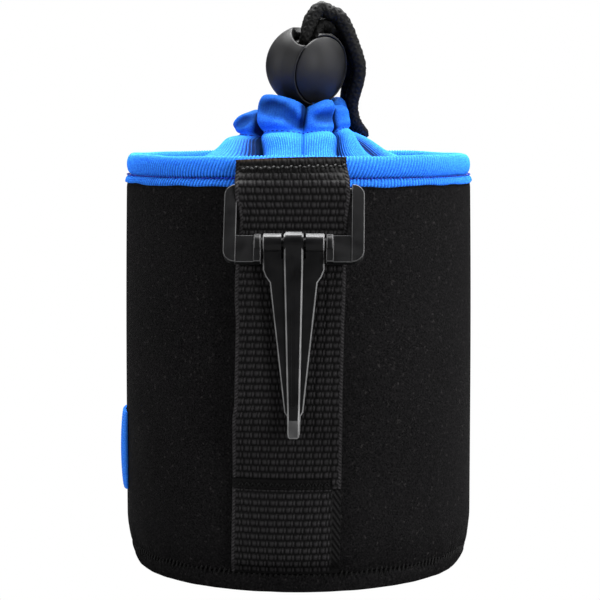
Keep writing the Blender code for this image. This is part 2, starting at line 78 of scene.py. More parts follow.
# Collar
ROLL_BOTTOM = 93.8
ROLL_TOP = 98.6
ROLL_RADIUS = 41.3
HEM_TOP = 93.6
RIB_COUNT = 300
RIB_DEPTH = 0.15

# Hood
NECK = (0.6, -2.0)
COLLAR_INSIDE = 38.2
NECK_EDGE = 12.6

# Strap
STRAP_WIDTH = 24.6
STRAP_THICKNESS = 1.3
STRAP_FOOT = 4.4
STRAP_TOP = 98.3
STRAP_TOP_X = 0.7
STRAP_LEAN = radians(1.25)
STRAP_TILT = 0.028
STRAP_FLAT_BACK = 44.5
STRAP_PATH = (40, 44, 62, 68)
WEAVE_ROW = 1.56
WEAVE_CELL = 1.98
WEAVE_DEPTH = 0.42
EDGE_BAND = 2.0
TOP_STITCHES = 96.3
FOOT_BAND = (24.1, 26.5)

# Clip frame and belt clip
FRAME_X = 1.0
TOP_BAR = Vector((FRAME_X, -43.35, 91.0))
HINGE = Vector((FRAME_X, -48.35, 79.9))
FRAME_HALF_WIDTH = 15.5
FRAME_BOTTOM = 16.9
WINDOW_HALF_WIDTH = 12.7
HINGE_HALF_WIDTH = 7.15
CLIP_HALF_WIDTH = 6.75
CLIP_LENGTH = 43.1
KNUCKLE_RADIUS = 2.1

# Cord lock and cord
LOCK_CENTRE = Vector((2.0, -2.0, 119.6))
LOCK_TURN = radians(-44.5)
LOCK_TIP = radians(12.0)
LOCK_RADIUS = 9.8
CORD_RADIUS = 1.4
CORD_SLACK = 0.36
BRAID_PITCH = 5.2
MOULD_DETAIL = 0.16

# Side tab
TAB_HEIGHTS = (18.0, 36.8)
TAB_ANGLES = (radians(-93.0), radians(-75.0))

# Material slots that mark paler faces while a plastic piece is being built, and how pale each slot is:
# partly wear and partly painted highlight. A rod's faces get a painted highlight where they look up more
# than a limit, which no face passes by default.
EDGE_SLOT = 1
SCUFFED_SLOT = 2
WEAR_AND_HIGHLIGHT = (0.0, 1.0, 0.35)
NO_HIGHLIGHT = 2.0
BOSS_HIGHLIGHT = 0.7
KNUCKLE_HIGHLIGHT = 0.72

# Camera and light
CAMERA_DISTANCE = 495.1
CAMERA_HEIGHT = 107.9
CAMERA_AZIMUTH = radians(2.4)
CAMERA_PITCH = radians(5.185)
CAMERA_LENS = 122.4
CAMERA_SHIFT = 0.0025
FLOOR_REACH = 3000.0
FLOOR_HEIGHT = -0.05
# Each softbox's name, place, height it aims at on the pouch's axis, size and power in watts
SOFTBOXES = [
    ("top_softbox", (60, 100, 560), 90, (720, 500), 21),
    ("front_right_softbox", (400, -500, 170), 60, (180, 320), 3.6),
    ("front_left_softbox", (-420, -480, 190), 60, (160, 320), 1.5),
    ("left_softbox", (-640, -60, 200), 60, (200, 500), 2.4),
    ("right_softbox", (640, -60, 200), 60, (200, 500), 3.0),
]


# Mesh helpers


def make_object(name, points, faces, finish):
    """A smooth-shaded mesh object whose faces look outwards."""
    mesh = bpy.data.meshes.new(name)
    mesh.from_pydata((np.asarray(points, float) * MM).tolist(), [], faces)
    return wrap_mesh(name, mesh, finish)


def wrap_mesh(name, mesh, finish):
    bm = bmesh.new()
    bm.from_mesh(mesh)
    bmesh.ops.recalc_face_normals(bm, faces=bm.faces)
    bm.to_mesh(mesh)
    bm.free()
    mesh.shade_smooth()
    mesh.materials.append(finish)
    obj = bpy.data.objects.new(name, mesh)
    bpy.context.scene.collection.objects.link(obj)
    return obj


def grid_faces(rows, columns, wrap_rows=False, wrap_columns=False):
    r = np.arange(rows if wrap_rows else rows - 1)[:, None]
    c = np.arange(columns if wrap_columns else columns - 1)[None, :]
    next_r, next_c = (r + 1) % rows, (c + 1) % columns
    corners = [r * columns + c, r * columns + next_c, next_r * columns + next_c, next_r * columns + c]
    return np.stack(np.broadcast_arrays(*corners), -1).reshape(-1, 4)


def add_grid(name, points, finish, wrap_rows=False, wrap_columns=False):
    rows, columns = points.shape[:2]
    faces = grid_faces(rows, columns, wrap_rows, wrap_columns).tolist()
    return make_object(name, points.reshape(-1, 3), faces, finish)


def add_ring(name, points, finish, node):
    """A closed ring of the pouch, from points that go round it and round its section."""
    ring = add_grid(name, points, finish, True, True)
    place(ring, "pouch", node)
    return ring


def add_column(name, rings, finish):
    """Closed sections joined in a row, with a fan across each end."""
    rings = np.asarray(rings, float)
    rows, columns = rings.shape[:2]
    faces = grid_faces(rows, columns, wrap_columns=True).tolist()
    points = [*rings.reshape(-1, 3), rings[0].mean(0), rings[-1].mean(0)]
    last, count = (rows - 1) * columns, rows * columns
    for j in range(columns):
        faces.append((j, (j + 1) % columns, count))
        faces.append((last + j, last + (j + 1) % columns, count + 1))
    return make_object(name, points, faces, finish)


def store_values(obj, name, values):
    """Stores one value for each point, for a material to read."""
    layer = obj.data.attributes.new(name, "FLOAT", "POINT")
    layer.data.foreach_set("value", np.ravel(values))


def around(count):
    return np.linspace(0, 2 * pi, count, endpoint=False)


def turned(radius, height, angle):
    """Points at these radii, heights and angles, as an array that ends in x, y, z."""
    radius, height, angle = np.broadcast_arrays(radius, height, angle)
    return np.stack([radius * np.sin(angle), -radius * np.cos(angle), height], -1)


def smooth_steps(knots, steps):
    """Catmull-Rom points through the knots, with a number of steps between each pair."""
    knots = np.asarray(knots, float)
    ends = np.concatenate([[2 * knots[0] - knots[1]], knots, [2 * knots[-1] - knots[-2]]])
    t = (np.arange(steps) / steps).reshape(-1, *[1] * (knots.ndim - 1))
    spans = []
    for a, b, c, d in zip(ends, ends[1:], ends[2:], ends[3:]):
        cubic = (c - a) * t + (2 * a - 5 * b + 4 * c - d) * t**2 + (3 * b - a - 3 * c + d) * t**3
        spans.append(b + 0.5 * cubic)
    return np.concatenate([*spans, knots[-1:]])


def smooth_step(value, low, high):
    t = np.clip((value - low) / (high - low), 0, 1)
    return t * t * (3 - 2 * t)


def dip(value, centre, width):
    return np.exp(-(((value - centre) / width) ** 2))


def hump(value, low, rise, fall, high):
    """1 between rise and fall, easing to 0 at low and high."""
    return smooth_step(value, low, rise) * (1 - smooth_step(value, fall, high))


def wander(angle, waves):
    """A gentle unevenness round a ring: the sum of (waves round, size, phase)."""
    return sum(size * np.sin(count * angle + phase) for count, size, phase in waves)


def place(obj, body, node):
    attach(obj, body)
    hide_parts(node)


# Material helpers


def grey(value):
    return (value, value, value)


def set_sockets(node, **values):
    """Sets a node's sockets. Here and below, _ in a keyword stands for a space in a socket's name."""
    for name, value in values.items():
        node.inputs[name.replace("_", " ")].default_value = value


def add_node(tree, kind, links=(), **values):
    """A node whose settings and sockets are given as keywords."""
    node = tree.nodes.new(kind)
    for name, value in values.items():
        if hasattr(node, name):
            setattr(node, name, value)
        else:
            set_sockets(node, **{name: value})
    for name, source in dict(links).items():
        tree.links.new(source, node.inputs[name])
    return node


def link(tree, node, **sources):
    for name, source in sources.items():
        tree.links.new(source, node.inputs[name.replace("_", " ")])


def new_material(name, colour, roughness, **sockets):
    made = bpy.data.materials.new(name)
    made.use_nodes = True
    shader = made.node_tree.nodes["Principled BSDF"]
    set_sockets(shader, Base_Color=(*colour, 1.0), Roughness=roughness, **sockets)
    return made, made.node_tree, shader


def object_noise(tree, scale, detail=3.0):
    """Noise in the piece's own space. Scale is in features per metre."""
    space = {"Vector": add_node(tree, "ShaderNodeTexCoord").outputs["Object"]}
    return add_node(tree, "ShaderNodeTexNoise", space, Scale=scale, Detail=detail).outputs["Fac"]


def mesh_value(tree, name):
    """A value that the mesh carries for its points or faces."""
    return add_node(tree, "ShaderNodeAttribute", attribute_name=name).outputs["Fac"]


def ramp(tree, source, stops):
    """A colour ramp over (position, colour) stops."""
    node = add_node(tree, "ShaderNodeValToRGB", {"Fac": source})
    for element, (position, colour) in zip(node.color_ramp.elements, stops):
        element.position = position
        element.color = (*colour, 1.0)
    return node.outputs["Color"]


def mix(tree, a, b, factor, blend="MIX"):
    """Colour a mixed with b. B and the factor are each a value or another node's output."""
    node = add_node(tree, "ShaderNodeMix", data_type="RGBA", blend_type=blend)
    tree.links.new(a, node.inputs["A"])
    for name, source in (("B", b), ("Factor", factor)):
        if isinstance(source, bpy.types.NodeSocket):
            tree.links.new(source, node.inputs[name])
        else:
            node.inputs[name].default_value = source
    return node.outputs["Result"]


def spread(tree, noise, low, high):
    """Noise stretched so that its usual values run from low to high."""
    stretch = {"From_Min": 0.3, "From_Max": 0.7, "To_Min": low, "To_Max": high}
    return add_node(tree, "ShaderNodeMapRange", {"Value": noise}, **stretch).outputs["Result"]


def add_bump(tree, shader, layers):
    """Bumps stacked on the shader's normal, from (height source, strength, depth in mm)."""
    links = {}
    for source, strength, depth in layers:
        links["Height"] = source
        node = add_node(tree, "ShaderNodeBump", links, Strength=strength, Distance=depth * MM)
        links["Normal"] = node.outputs["Normal"]
    tree.links.new(links["Normal"], shader.inputs["Normal"])


# Finishes


def neoprene_finish():
    made, tree, shader = new_material("neoprene_jersey", grey(0.004), 0.85, Specular_IOR_Level=0.03)
    knit = object_noise(tree, 2600, 2.0)
    lint = object_noise(tree, 1100, 2.0)
    cloud = object_noise(tree, 60)
    tint = ramp(tree, knit, [(0.32, (0.0008, 0.0008, 0.0009)), (0.68, (0.0062, 0.0059, 0.0062))])
    specks = ramp(tree, lint, [(0.62, grey(0)), (0.78, (0.012, 0.011, 0.011))])
    colour = mix(tree, tint, specks, 1.0, "ADD")
    link(tree, shader, Base_Color=colour, Roughness=spread(tree, cloud, 0.78, 0.92))
    add_bump(tree, shader, [(knit, 0.7, 0.14), (cloud, 0.25, 0.5)])
    return made


def jersey_finish(name, dark, light, sheen):
    """Knitted jersey, with painted shade in the folds, creases and grooves that the mesh marks."""
    nap = {"Sheen_Weight": sheen, "Sheen_Roughness": 0.45, "Sheen_Tint": (0.0, 0.7, 1.0, 1.0)}
    made, tree, shader = new_material(name, light, 0.75, Specular_IOR_Level=0.03, **nap)
    yarn = object_noise(tree, 3200, 2.0)
    patch = object_noise(tree, 120)
    tint = ramp(tree, yarn, [(0.32, dark), (0.68, light)])
    # Painted shade: the colour darkens towards a near-black blue as the mesh's painted_shade value rises.
    deep = (0.04 * dark[0], 0.06 * dark[1], 0.06 * dark[2], 1.0)
    colour = mix(tree, tint, deep, mesh_value(tree, "painted_shade"))
    link(tree, shader, Base_Color=colour, Roughness=spread(tree, patch, 0.68, 0.85))
    add_bump(tree, shader, [(yarn, 0.35, 0.08), (patch, 0.2, 0.3)])
    return made


def webbing_finish():
    """Woven nylon: the yarns are in the mesh, and the fibres, painted light and shade and singed end are
    here.
    """
    made, tree, shader = new_material("nylon_webbing", grey(0.006), 0.5, Specular_IOR_Level=0.05)
    space = {"Vector": add_node(tree, "ShaderNodeTexCoord").outputs["Object"]}
    weave = {"bands_direction": "X", "Scale": 1500, "Distortion": 3.0}
    fibres = add_node(tree, "ShaderNodeTexWave", space, **weave).outputs["Fac"]
    yarn = object_noise(tree, 700, 2.0)
    # Painted light and shade on the weave: near black in the gaps, lighter on the raised yarns.
    dark, light = (0.002, 0.0019, 0.002), (0.029, 0.0275, 0.029)
    tint = ramp(tree, mesh_value(tree, "raised"), [(0.15, dark), (1.0, light)])
    patches = ramp(tree, yarn, [(0.3, grey(0.65)), (0.7, grey(1.0))])
    uneven = mix(tree, tint, patches, 1.0, "MULTIPLY")
    colour = mix(tree, uneven, (0.012, 0.008, 0.005, 1.0), mesh_value(tree, "singe"))
    link(tree, shader, Base_Color=colour, Roughness=spread(tree, yarn, 0.42, 0.6))
    add_bump(tree, shader, [(fibres, 0.25, 0.03), (yarn, 0.2, 0.05)])
    return made


def thread_finish(name, dark, light, gloss=0.2):
    made, tree, shader = new_material(name, light, 0.6, Specular_IOR_Level=gloss)
    twist = object_noise(tree, 2500, 1.0)
    colour = ramp(tree, twist, [(0.35, dark), (0.65, light)])
    link(tree, shader, Base_Color=colour, Roughness=spread(tree, twist, 0.5, 0.7))
    add_bump(tree, shader, [(twist, 0.4, 0.04)])
    return made


def plastic_finish(name, colour, roughness, grain, gloss, wear_and_highlight_colour):
    """Moulded black plastic: a fine grain, and a paler line on the edges that the mesh marks, part wear,
    part painted highlight.
    """
    made, tree, shader = new_material(name, colour, roughness, Specular_IOR_Level=gloss)
    fine = object_noise(tree, 2400, 2.0)
    cloud = object_noise(tree, 260)
    tint = ramp(tree, cloud, [(0.35, colour), (0.75, tuple(1.7 * c for c in colour))])
    # The paler colour goes where the mesh's edge value is: wear on the edges, and a painted highlight on
    # the edges and up-facing tops.
    pale_share = add_node(tree, "ShaderNodeMath", operation="MULTIPLY")
    tree.links.new(mesh_value(tree, "edge"), pale_share.inputs[0])
    tree.links.new(spread(tree, cloud, 0.5, 1.0), pale_share.inputs[1])
    mixed = mix(tree, tint, (*wear_and_highlight_colour, 1.0), pale_share.outputs["Value"])
    patchy = spread(tree, cloud, roughness - 0.05, roughness + 0.08)
    link(tree, shader, Base_Color=mixed, Roughness=patchy)
    add_bump(tree, shader, [(fine, grain, 0.03), (cloud, 0.15, 0.08)])
    return made


def steel_finish():
    made, tree, shader = new_material("spring_steel", (0.5, 0.5, 0.52), 0.3, Metallic=1.0)
    drawn = object_noise(tree, 1500, 2.0)
    link(tree, shader, Roughness=spread(tree, drawn, 0.22, 0.4))
    add_bump(tree, shader, [(drawn, 0.2, 0.02)])
    return made


# Body


def wall_radius(z):
    """The wall's outer radius: fullest low down, drawn in at the base seam and under the hem."""
    z = np.asarray(z, float)
    narrowing = WALL_NARROWING * np.clip((z - 40) / 50, 0, 1) ** 2
    foot = FOOT_PULL * np.clip(1 - z / FOOT_HEIGHT, 0, 1) ** 2
    shoulder = SHOULDER_PULL * np.clip((z - SHOULDER) / 3.2, 0, 1) ** 2.2
    return WALL_RADIUS - 0.1 - narrowing - foot - shoulder


def base_waves(angle, z):
    """Puckers that the base seam pulls into the neoprene."""
    waves = wander(angle, [(19, 0.12, 0.4), (31, 0.10, 2.1), (47, 0.07, 4.0)])
    pulls = 0.10 * np.cos(BASE_STITCHES * angle + 1.2 * z)
    return waves * dip(z, BASE_SEAM, 4.5) + pulls * dip(z, BASE_SEAM, 2.2)


def seam_groove(z):
    return SEAM_GROOVE * dip(z, BASE_SEAM, 0.7)


def add_wall(neoprene):
    angle = around(4 * BASE_STITCHES)[:, None]
    low = np.linspace(BASE_SEAM + SEAM_GAP, 14, 30)
    z = np.concatenate([low, np.linspace(15.5, 88, 30), np.linspace(88.6, WALL_TOP, 12)])
    outside = turned(wall_radius(z) - seam_groove(z) + base_waves(angle, z), z, angle)
    inner_z = np.array([WALL_TOP - 0.2, 70, 40, BASE_SEAM + 0.2])
    inside = turned(WALL_RADIUS - WALL_THICKNESS, inner_z, angle)
    points = np.concatenate([outside, inside], 1)
    add_ring("pouch_wall", points, neoprene, "body_wall")


def add_base(neoprene):
    """A base that rounds up to the seam, squarer at the front, and puckered where it is sewn."""
    angle = around(4 * BASE_STITCHES)[:, None]
    front = np.cos(angle / 2) ** 4
    top = BASE_SEAM - SEAM_GAP
    share = np.array([0.05, 0.13, 0.24, 0.37, 0.5, 0.62, 0.75, 0.86, 0.95, 1.0])
    z = share * top
    corner = 38.0 + 3.0 * front
    seam = float(wall_radius(top))
    outside = seam + (corner - seam) * (1 - share) ** 1.6 - seam_groove(z)
    outside = outside + 0.3 * np.sin(pi * share) * front + base_waves(angle, z)
    flat = corner - 1.2
    under = [(0 * angle + 0.4, 0.0), (0 * angle + 14, 0.0), (flat - 6, 0.0), (flat, 0.02)]
    inner = [(38.3, top), (38.0, top - 0.1), *[(r, BASE_THICKNESS) for r in (36.5, 20, 0.4)]]
    radius = [r for r, _ in under] + [outside] + [0 * angle + r for r, _ in inner]
    heights = [*[h for _, h in under], *z, *[h for _, h in inner]]
    points = turned(np.concatenate(radius, 1), np.array(heights), angle)
    add_ring("pouch_base", points, neoprene, "base_panel")


def add_linings(lining):
    """The lining tube, with a slight ripple inside, and the disc on the base."""
    angle = around(160)[:, None]
    outer = WALL_RADIUS - WALL_THICKNESS - 0.3
    inner = outer - LINING_THICKNESS + 0.08 * np.sin(80 * angle)
    z = np.linspace(BASE_THICKNESS + 1.7, ROLL_TOP - 1.2, 12)
    sheet = [turned(outer + 0 * angle, z, angle), turned(inner, z[::-1], angle)]
    add_ring("wall_lining", np.concatenate(sheet, 1), lining, "body_lining")
    radius = outer - 0.3 - LINING_THICKNESS * 0.4
    low = BASE_THICKNESS + 0.3
    high = low + LINING_THICKNESS
    section = [(0.4, low), (radius, low), (radius, low + 0.6), (radius - 1, high), (0.4, high)]
    r, z = np.array(section).T
    add_ring("floor_lining", turned(r, z, angle), lining, "base_lining")


# Collar


def rib_wave(angle):
    return np.cos(RIB_COUNT * angle)


def groove_shade(wave):
    """Painted shade in the grooves between ribs: how deep in a groove each point of the ribs is, from 0
    on a crest to its most.
    """
    return 0.27 * (1 - wave)


def add_collar_roll(jersey):
    """A padded roll, ribbed up and over, that closes on its seam."""
    angle = around(RIB_COUNT * 5)[:, None]
    t = around(30)
    inner = WALL_RADIUS - WALL_THICKNESS + 0.1
    half_width, half_height = (ROLL_RADIUS - inner) / 2, (ROLL_TOP - ROLL_BOTTOM) / 2
    across = np.sign(np.cos(t)) * np.abs(np.cos(t)) ** 0.95
    up = np.sign(np.sin(t)) * np.abs(np.sin(t)) ** 0.95
    swell = 1 + wander(angle, [(3, 0.015, 0.5), (7, 0.02, 1.9), (13, 0.012, 3.0)])
    wave = rib_wave(angle - 0.022 * up)
    rib = RIB_DEPTH * wave
    radius = inner + half_width + (half_width * swell + rib) * across
    lift = wander(angle, [(2, 0.10, 1.0), (5, 0.10, 2.2), (11, 0.05, 0.3)])
    z = (ROLL_BOTTOM + ROLL_TOP) / 2 + lift + (half_height * swell + rib) * up
    points = turned(radius, z, angle)
    roll = add_ring("collar_padded_roll", points, jersey, "collar_roll")
    # Painted shade in the rib grooves.
    store_values(roll, "painted_shade", groove_shade(wave))


def add_collar_hem(jersey):
    """The narrow turned-down hem, which flares over the wall's top edge."""
    angle = around(RIB_COUNT * 5)[:, None]
    outer = [(40.9, 93.6), (41.2, 93.4), (41.55, 92.9), (41.75, 92.3)]
    knots = [*outer, (41.7, 91.9), (41.4, 91.9), (41.2, 92.7)]
    section = smooth_steps(knots, 3)
    wave = rib_wave(angle - 0.006 * section[:, 1])
    rib = 0.8 * RIB_DEPTH * wave
    waves = wander(angle, [(9, 0.06, 0.0), (17, 0.05, 1.2), (29, 0.03, 2.0)])
    radius, z = section[:, 0] + rib, section[:, 1] + waves * (HEM_TOP - section[:, 1])
    points = turned(radius, z, angle)
    hem = add_ring("collar_turned_hem", points, jersey, "collar_hem")
    # The hem is a little darker all over, by the painted shade's mix, and has painted shade in the rib
    # grooves.
    store_values(hem, "painted_shade", 0.2 + groove_shade(wave))


# Hood

# Creases between the hood's lobes, in degrees: at the lip, the stitches, half way down and the collar
HOOD_CREASES = [
    (11, 5, 4, 3),
    (58, 51, 33, 20),
    (98, 92, 75, 62),
    (138, 136, 128, 122),
    (178, 178, 178, 178),
    (214, 216, 226, 234),
    (242, 246, 262, 276),
    (292, 303, 331, 345),
]

# A lobe's ridge and a crease between two lobes, as (radius, height), from the collar over the lip to the
# channel. A place on these lines is called a station and counts from 0 at the collar.
RIDGE = [
    (38.2, 95.0), (36.0, 95.9), (31.0, 96.2), (25.5, 97.0), (20.8, 98.7),
    (16.6, 101.6), (12.6, 104.2), (12.7, 106.4), (12.6, 108.8), (11.8, 111.0),
    (10.2, 112.4), (8.6, 112.0), (7.4, 109.6), (6.6, 106.4), (6.4, 103.6),
]
CREASE = [
    (38.2, 94.7), (36.0, 95.3), (31.0, 95.2), (24.0, 95.2), (17.0, 96.0),
    (12.0, 98.6), (9.4, 102.4), (9.2, 106.0), (8.8, 108.0), (8.2, 109.0),
    (7.4, 109.5), (6.8, 109.3), (6.3, 107.8), (6.1, 105.4), (6.2, 103.4),
]
LOBE_RIBS = (18, 24, 28, 28, 26, 20, 28, 22)
# How each lobe's peak leans at the lip: above 1 it is late in the lobe, and below 1 early
LOBE_SKEWS = (1.9, 1.0, 1.2, 1.0, 0.9, 1.1, 0.9, 0.6)
SEAM_STATION = 6
LIP_STATION = 10

# How far each lobe's ridge leaves the common one at these stations, as (radius, height)
SHIFT_STATIONS = (0, 3, 4, 5, 6, 8, 10, 14)
LOBE_SHIFTS = [
    ((0, 0), (0.2, 0.8), (0.6, 1.1), (0, 0), (-0.4, -0.4), (0.2, -1.0)),
    ((-2.4, 0.4), (-2.4, 0.8), (-1.8, 0.9), (0, 0.8), (-0.7, -1.2), (0.6, -2.4)),
    ((0.4, 0.2), (0.8, 0.3), (0.9, 0.3), (0.6, 0.2), (0, 0), (0.4, -0.2)),
    ((0, 0), (0.3, 0.2), (0.4, 0.2), (0.2, 0), (0, 0.1), (0, 0.2)),
    ((0, 0), (0.4, 0.2), (0.4, 0.1), (0.2, 0.2), (0.4, 0.1), (0, 0)),
    ((0.3, 0.2), (0.5, 0.3), (0.6, 0.2), (0.4, 0), (0.6, 0), (0.4, 0)),
    ((0.4, 0.5), (0.9, 0.7), (1.4, 0.6), (2.6, -1.0), (3.8, -3.0), (2.4, -3.8)),
    ((0, 0), (0.2, 0.8), (0.6, 1.1), (0.2, 0), (1.4, 0), (0.8, 0.3)),
]


def hood_lobe_ridge(shifts):
    """One lobe's ridge: the common one moved by its own shifts."""
    moves = np.array([(0, 0), *shifts, (0, 0)])
    stations = np.arange(len(RIDGE))
    moved = [np.interp(stations, SHIFT_STATIONS, moves[:, k]) for k in (0, 1)]
    return np.array(RIDGE) + np.stack(moved, -1)


def hood_crease_line(index):
    """A crease's line and its turn. The one at the front is shallow up to a little above the stitches."""
    stations = np.arange(len(RIDGE))
    depth = np.ones(len(RIDGE))
    if index == 0:
        depth = np.interp(stations, [0, 5, 6, 9], [0.35, 0.35, 0.45, 1.0])
    line = np.array(RIDGE) + (np.array(CREASE) - np.array(RIDGE)) * depth[:, None]
    lip, seam, low, collar = HOOD_CREASES[index]
    return line, np.interp(stations, [0, 4.5, SEAM_STATION, LIP_STATION], [collar, low, seam, lip])


def add_hood(jersey):
    """Gathered cloth: puffed lobes with sharp creases between them, from the collar to the lip."""
    columns, steps = 130, 6
    u = np.linspace(0, 1, columns, endpoint=False)[None, :]
    stations = np.arange(len(RIDGE))
    sharpness = np.interp(stations, [0, 3, 5, LIP_STATION], [1.3, 0.7, 0.45, 0.65])[:, None]
    lobes, turns = [], []
    for lobe, (shifts, skew) in enumerate(zip(LOBE_SHIFTS, LOBE_SKEWS)):
        leaning = np.interp(stations, [5, LIP_STATION], [1.0, skew])[:, None]
        puff = (np.sin(pi * u**leaning) ** sharpness)[:, :, None]
        start, start_turn = hood_crease_line(lobe)
        end, end_turn = hood_crease_line((lobe + 1) % len(HOOD_CREASES))
        end_turn = np.where(end_turn < start_turn, end_turn + 360, end_turn)
        low = start[:, None, :] + (end - start)[:, None, :] * u[:, :, None]
        lobes.append(low + (hood_lobe_ridge(shifts)[:, None, :] - low) * puff)
        turns.append(start_turn[:, None] + (end_turn - start_turn)[:, None] * u)
    section = smooth_steps(np.concatenate(lobes, 1), steps)
    turns = np.unwrap(np.concatenate(turns, 1), period=360, axis=1)
    angle = np.radians(smooth_steps(turns, steps))
    radius, z = section[..., 0], section[..., 1]
    at = np.linspace(0, len(RIDGE) - 1, len(radius))[:, None]

    share = np.clip((COLLAR_INSIDE - radius) / (COLLAR_INSIDE - NECK_EDGE), 0, 1)
    rib_fade = 1 - 0.96 * smooth_step(at, 5.2, 6.2)
    along_lobe = np.tile(u, len(LOBE_SHIFTS))
    ribs = np.repeat(LOBE_RIBS, columns)[None, :]
    wave = np.cos(2 * pi * ribs * along_lobe)
    stitch_groove = 0.9 * dip(at, SEAM_STATION, 0.3)
    wrinkles = hood_wrinkles(angle, at)
    out = 0.13 * rib_fade * wave - stitch_groove + wrinkles
    outward = smooth_step(at, 3.0, 6.0)
    points = turned(radius + out * outward, z + out * (1 - outward), angle)
    points[..., 0] += share * NECK[0]
    points[..., 1] += share * NECK[1]
    hood = add_grid("drawstring_gathered_hood", points, jersey, False, True)
    # Painted shade in the creases, the dents and the rib grooves, and the lobes darker above the
    # stitches.
    crease = hood_crease_shade(along_lobe, at)
    darker_above_stitches = smooth_step(at, 5.9, 6.5) * (0.5 + 0.12 * smooth_step(at, 7.5, 9.5))
    painted_shade = crease + darker_above_stitches + 0.35 * np.clip(-wrinkles, 0, 1) + rib_fade * groove_shade(wave)
    store_values(hood, "painted_shade", np.clip(painted_shade, 0, 1))
    give_thickness(hood, 0.5)
    place(hood, "pouch", "drawstring_hood")
    return points


def hood_crease_shade(along_lobe, at):
    """Deep shade where two lobes meet, wide below the stitches and narrow above them.

    The front crease, where the last lobe meets the first, has next to none below the stitches.
    """
    from_edge = np.minimum(along_lobe, 1 - along_lobe)
    width = 0.2 - 0.13 * smooth_step(at, 5.0, 7.0)
    strength = smooth_step(at, 1.5, 3.5) * (1 - 0.5 * smooth_step(at, 9.0, 10.5))
    place_round = np.arange(along_lobe.shape[1]) / along_lobe.shape[1] * len(HOOD_CREASES)
    from_front = np.minimum(place_round, len(HOOD_CREASES) - place_round)
    at_front = (from_front < 0.5) * (1 - smooth_step(at, 6.0, 8.6))
    return strength * (1 - 0.9 * at_front) * np.exp(-((from_edge / width) ** 2))


def hood_wrinkles(angle, at):
    """Broad dents and swellings round the hood's neck, and soft ripples."""
    turn = np.degrees(angle) % 360
    # (degrees round, width in degrees, station, height in stations, size)
    marks = [
        (348, 13, 5.0, 0.9, 1.3), (23, 13, 5.0, 0.9, 1.3), (341, 12, 6.65, 0.55, 0.9),
        (330, 22, 8.3, 0.9, -1.5), (350, 9, 7.3, 0.9, -1.3), (1, 7, 6.8, 0.5, -1.3),
        (318, 10, 6.9, 0.8, 0.8), (28, 12, 6.3, 0.35, 0.5), (34, 18, 7.5, 0.7, -1.5),
        (22, 10, 8.8, 0.7, 0.6), (106, 10, 7.6, 0.8, -0.8), (152, 11, 7.4, 0.9, -0.9),
        (195, 9, 8.0, 0.8, -0.7), (226, 10, 7.3, 0.8, -0.8), (283, 9, 8.0, 0.9, -1.6),
    ]
    total = 0
    for centre, width, station, height, size in marks:
        apart = (turn - centre + 180) % 360 - 180
        total = total + size * np.exp(-((apart / width) ** 2) - ((at - station) / height) ** 2)
    ripples = 0.10 * np.sin(5 * angle + 1.7 * at) + 0.06 * np.sin(23 * angle - 2.3 * at)
    return total + ripples * smooth_step(at, 1.0, 3.0)


def give_thickness(obj, thickness):
    solid = obj.modifiers.new("thickness", "SOLIDIFY")
    solid.thickness = thickness * MM
    solid.offset = -1.0


# Strap


def strap_x(z):
    """The strap's middle. It leans, and sits aside where it passes through the frame."""
    in_frame = 0.4 * hump(z, 74, 80, 86, 92)
    at_top = 0.6 * smooth_step(z, 91, 98)
    on_path = 0.12 * hump(z, *STRAP_PATH)
    return STRAP_TOP_X - (STRAP_TOP - z) * sin(STRAP_LEAN) + in_frame + on_path - at_top


def strap_spread(z):
    """The strap's width as a share: less in the frame and beside the clip, and more over the collar."""
    in_frame = 0.02 * hump(z, 72, 78, 85, 89)
    over_collar = 0.035 * hump(z, 87, 90.5, 93, 97.5)
    on_path = 0.02 * hump(z, *STRAP_PATH)
    return 1 - in_frame - on_path + over_collar


def strap_line():
    """The strap's back face from foot to top, as (height, distance from the axis, roundness)."""
    sewn = [(z, float(wall_radius(z)) + 0.3, 1.0) for z in (STRAP_FOOT, 8.0, 14.0, 21.0, 27.0)]
    free = [(33.0, 43.2, 0.6), (39.0, 44.2, 0.15)]
    flat = [(z, STRAP_FLAT_BACK, 0.0) for z in (42.0, 54.0, 66.0, 80.0)]
    top = [(91.0, 44.3, 0.05), (94.0, 43.5, 0.5), (96.0, 42.6, 1.0), (STRAP_TOP, 41.6, 1.0)]
    return np.array([*sewn, *free, *flat, *top])


def strap_y(x, z, out):
    """Y of a point this far out from the strap's back face."""
    height, distance, roundness = smooth_steps(strap_line(), 24).T
    back = np.interp(z, height, distance)
    drop = np.interp(z, height, np.clip(roundness, 0, 1)) * (back - np.sqrt(back**2 - x**2))
    return -(back - drop + out)


def weave_cells(across, along):
    """The webbing's face: rows of wide and narrow yarns, whose slits step aside from row to row."""
    row = np.floor(along / WEAVE_ROW)
    within = along / WEAVE_ROW - row
    step = np.where(row % 2 == 0, 0.2, -0.2)
    cell = (across + step) / WEAVE_CELL
    cell = cell - np.floor(cell)
    off_slit = np.minimum(cell, 1 - cell) * WEAVE_CELL
    off_minor = np.abs(cell - 0.66) * WEAVE_CELL
    narrow = smooth_step(cell, 0.64, 0.7)
    yarns = 1 - 0.97 * dip(off_slit, 0, 0.3) - 0.85 * dip(off_minor, 0, 0.21)
    height = np.sin(pi * within) ** 0.9 * (0.1 + 0.9 * yarns) * (0.75 + 0.25 * narrow)
    return height, narrow


